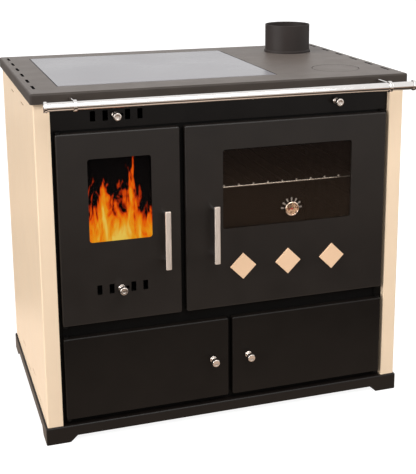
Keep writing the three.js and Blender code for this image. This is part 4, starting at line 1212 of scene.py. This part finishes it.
FLOOR_SIZE = 40.0
FLOOR_DROP = 0.5 * mm
FLOOR_COLOR = (0.24, 0.24, 0.24)
FLOOR_GLOW = 0.9
FLOOR_REACH = 5.0  # metres from the middle at which the list below ends
FLOOR_MIRRORED = [
    (0.0, (0.75, 0.59, 0.48)), (0.15, (0.75, 0.59, 0.48)), (0.185, (0.12, 0.1, 0.08)),
    (0.21, (0.03, 0.026, 0.024)), (0.34, (0.04, 0.034, 0.03)), (0.385, (0.62, 0.42, 0.29)),
    (0.46, (0.55, 0.38, 0.27)), (0.58, (0.15, 0.12, 0.11)), (0.74, (0.13, 0.12, 0.13)),
    (0.86, (1, 0.97, 0.94))]
REAR_SHADE = 0.75  # of the floor's mirror image, far behind the stove
REAR_START, REAR_END = 0.5, 2.0  # metres behind the middle


def studio_floor():
    """White to the camera, with the stove's shadow; its mirror image has warm and dark rings."""
    deselect()
    bpy.ops.mesh.primitive_plane_add(size=FLOOR_SIZE, location=(0, 0, -FLOOR_DROP))
    bpy.ops.object.transform_apply()
    floor = bpy.context.object
    floor.name = "studio_floor"
    material = surface("studio_floor", FLOOR_COLOR, 0.9)
    path = node(material, "ShaderNodeLightPath").outputs
    seen = sum_up(material, "MAXIMUM", path["Is Camera Ray"], path["Is Transmission Ray"])
    glow = sum_up(material, "MULTIPLY", seen, FLOOR_GLOW)
    shader = shader_of(material)
    shader.inputs["Emission Color"].default_value = (1, 1, 1, 1)
    link(material, glow, shader.inputs["Emission Strength"])
    away = material.node_tree.nodes.new("ShaderNodeVectorMath")
    away.operation = "LENGTH"
    link(material, placed(material, [1 / FLOOR_REACH] * 3), away.inputs[0])
    mirrored = node(material, "ShaderNodeEmission")
    color = ramp(material, away.outputs["Value"], FLOOR_MIRRORED)
    link(material, color, mirrored.inputs["Color"])
    parts = node(material, "ShaderNodeSeparateXYZ")
    link(material, placed(material), parts.inputs["Vector"])
    rear = node(
        material, "ShaderNodeMapRange", From_Min=REAR_START, From_Max=REAR_END, To_Min=1.0,
        To_Max=1 - REAR_SHADE)
    link(material, parts.outputs["Y"], rear.inputs["Value"])
    link(material, rear.outputs["Result"], mirrored.inputs["Strength"])
    mix = blend(
        material, path["Is Glossy Ray"], shader.outputs["BSDF"], mirrored.outputs["Emission"])
    link(material, mix, material.node_tree.nodes["Material Output"].inputs["Surface"])
    floor.data.materials.append(material)


def studio_lamp(name, kind, place, strength, aim=(0, 0, 0)):
    deselect()
    bpy.ops.object.light_add(type=kind, location=place)
    lamp = bpy.context.object
    lamp.name = name
    lamp.rotation_euler = (Vector(aim) - Vector(place)).to_track_quat("-Z", "Y").to_euler()
    lamp.data.energy = strength
    return lamp.data


KEY_AIM = (0, 0, 0.5)
KEY_SIZE = 2.0
SIDE_SPREAD = math.radians(50)


def studio_lights():
    """A large soft light above the front, and a wide one low down on each side."""
    studio_lamp("key_light", "AREA", (0.3, -2.2, 2.7), 48, KEY_AIM).size = KEY_SIZE
    studio_lamp("left_light", "SUN", (-3.0, -0.7, 0.9), 2.9).angle = SIDE_SPREAD
    studio_lamp("right_light", "SUN", (3.0, -0.7, 1.4), 0.9).angle = SIDE_SPREAD


ROOM_LIGHT = 0.55
SIDE_GLOW = 0.3
LEFT_SHADE = 7  # how much sooner the shade begins on the left
SIDEWAYS_STEP = (0.5, 0.8)
LOW_STEP = (0.6, 0.25)


def soft_step(material, value, start, end):
    """0 up to the start, 1 from the end on, and a soft step between them."""
    step = node(material, "ShaderNodeMapRange", From_Min=start, From_Max=end)
    step.interpolation_type = "SMOOTHSTEP"
    link(material, value, step.inputs["Value"])
    return step.outputs["Result"]


def side_shade(world):
    """1 for rays that leave low down to the left or the right, and 0 for all others."""
    direction = node(world, "ShaderNodeTexCoord")
    parts = node(world, "ShaderNodeSeparateXYZ")
    link(world, direction.outputs["Generated"], parts.inputs["Vector"])
    across = parts.outputs["X"]
    sideways = sum_up(world, "MAXIMUM", across, sum_up(world, "MULTIPLY", across, -LEFT_SHADE))
    return sum_up(
        world, "MULTIPLY", soft_step(world, sideways, *SIDEWAYS_STEP),
        soft_step(world, parts.outputs["Z"], *LOW_STEP))


def studio_world():
    """White to the camera, to mirrors and through glass, and a soft grey light on the rest."""
    world = bpy.data.worlds.new("studio")
    bpy.context.scene.world = world
    world.use_nodes = True
    nodes = world.node_tree.nodes
    white = nodes["Background"]
    white.inputs["Color"].default_value = (1, 1, 1, 1)
    white.inputs["Strength"].default_value = 1.0
    soft = node(world, "ShaderNodeBackground", Color=(1, 1, 1, 1), Strength=ROOM_LIGHT)
    sides = node(world, "ShaderNodeBackground", Color=(1, 1, 1, 1), Strength=SIDE_GLOW)
    path = node(world, "ShaderNodeLightPath").outputs
    seen = path["Is Camera Ray"]
    for ray in ("Is Glossy Ray", "Is Transmission Ray"):
        seen = sum_up(world, "MAXIMUM", seen, path[ray])
    room = blend(world, seen, soft.outputs["Background"], white.outputs["Background"])
    mirrored = sum_up(world, "MULTIPLY", path["Is Glossy Ray"], side_shade(world))
    room = blend(world, mirrored, room, sides.outputs["Background"])
    link(world, room, nodes["World Output"].inputs["Surface"])


# ---- Assembly ----

make_camera()
dress_nodes()
side_panel("left_side_panel", -1)
side_panel("right_side_panel", 1)
plinth()
worktop()
hob_plate()
hob_seal()
cleaning_cover()
flue_collar()
towel_rail()
rail_end("rail_end_left", -1)
rail_end("rail_end_right", 1)
rail_bracket("rail_bracket_left")
rail_bracket("rail_bracket_right")
fire_door()
flame_film()
door_tray("oven_door_panel", "oven_door_hinge", window_tool("oven_door_panel"))
storage_door("lower_door_left", "storage_left_hinge", "lower_knob_left")
storage_door("lower_door_right", "storage_right_hinge", "lower_knob_right")
control_panel()
door_handle("fire_door_handle")
door_handle("oven_door_handle")
for knob_name in ("damper_knob", "lower_knob_left", "lower_knob_right", "primary_air_knob",
                  "secondary_air_knob"):
    knob(knob_name)
for tile_name in ("diamond_tile_1", "diamond_tile_2", "diamond_tile_3"):
    diamond_tile(tile_name)
thermometer_case()
thermometer_needle()
thermometer_ticks()
oven_rack()

studio_floor()
studio_lights()
studio_world()
bpy.context.scene.view_settings.view_transform = "Standard"
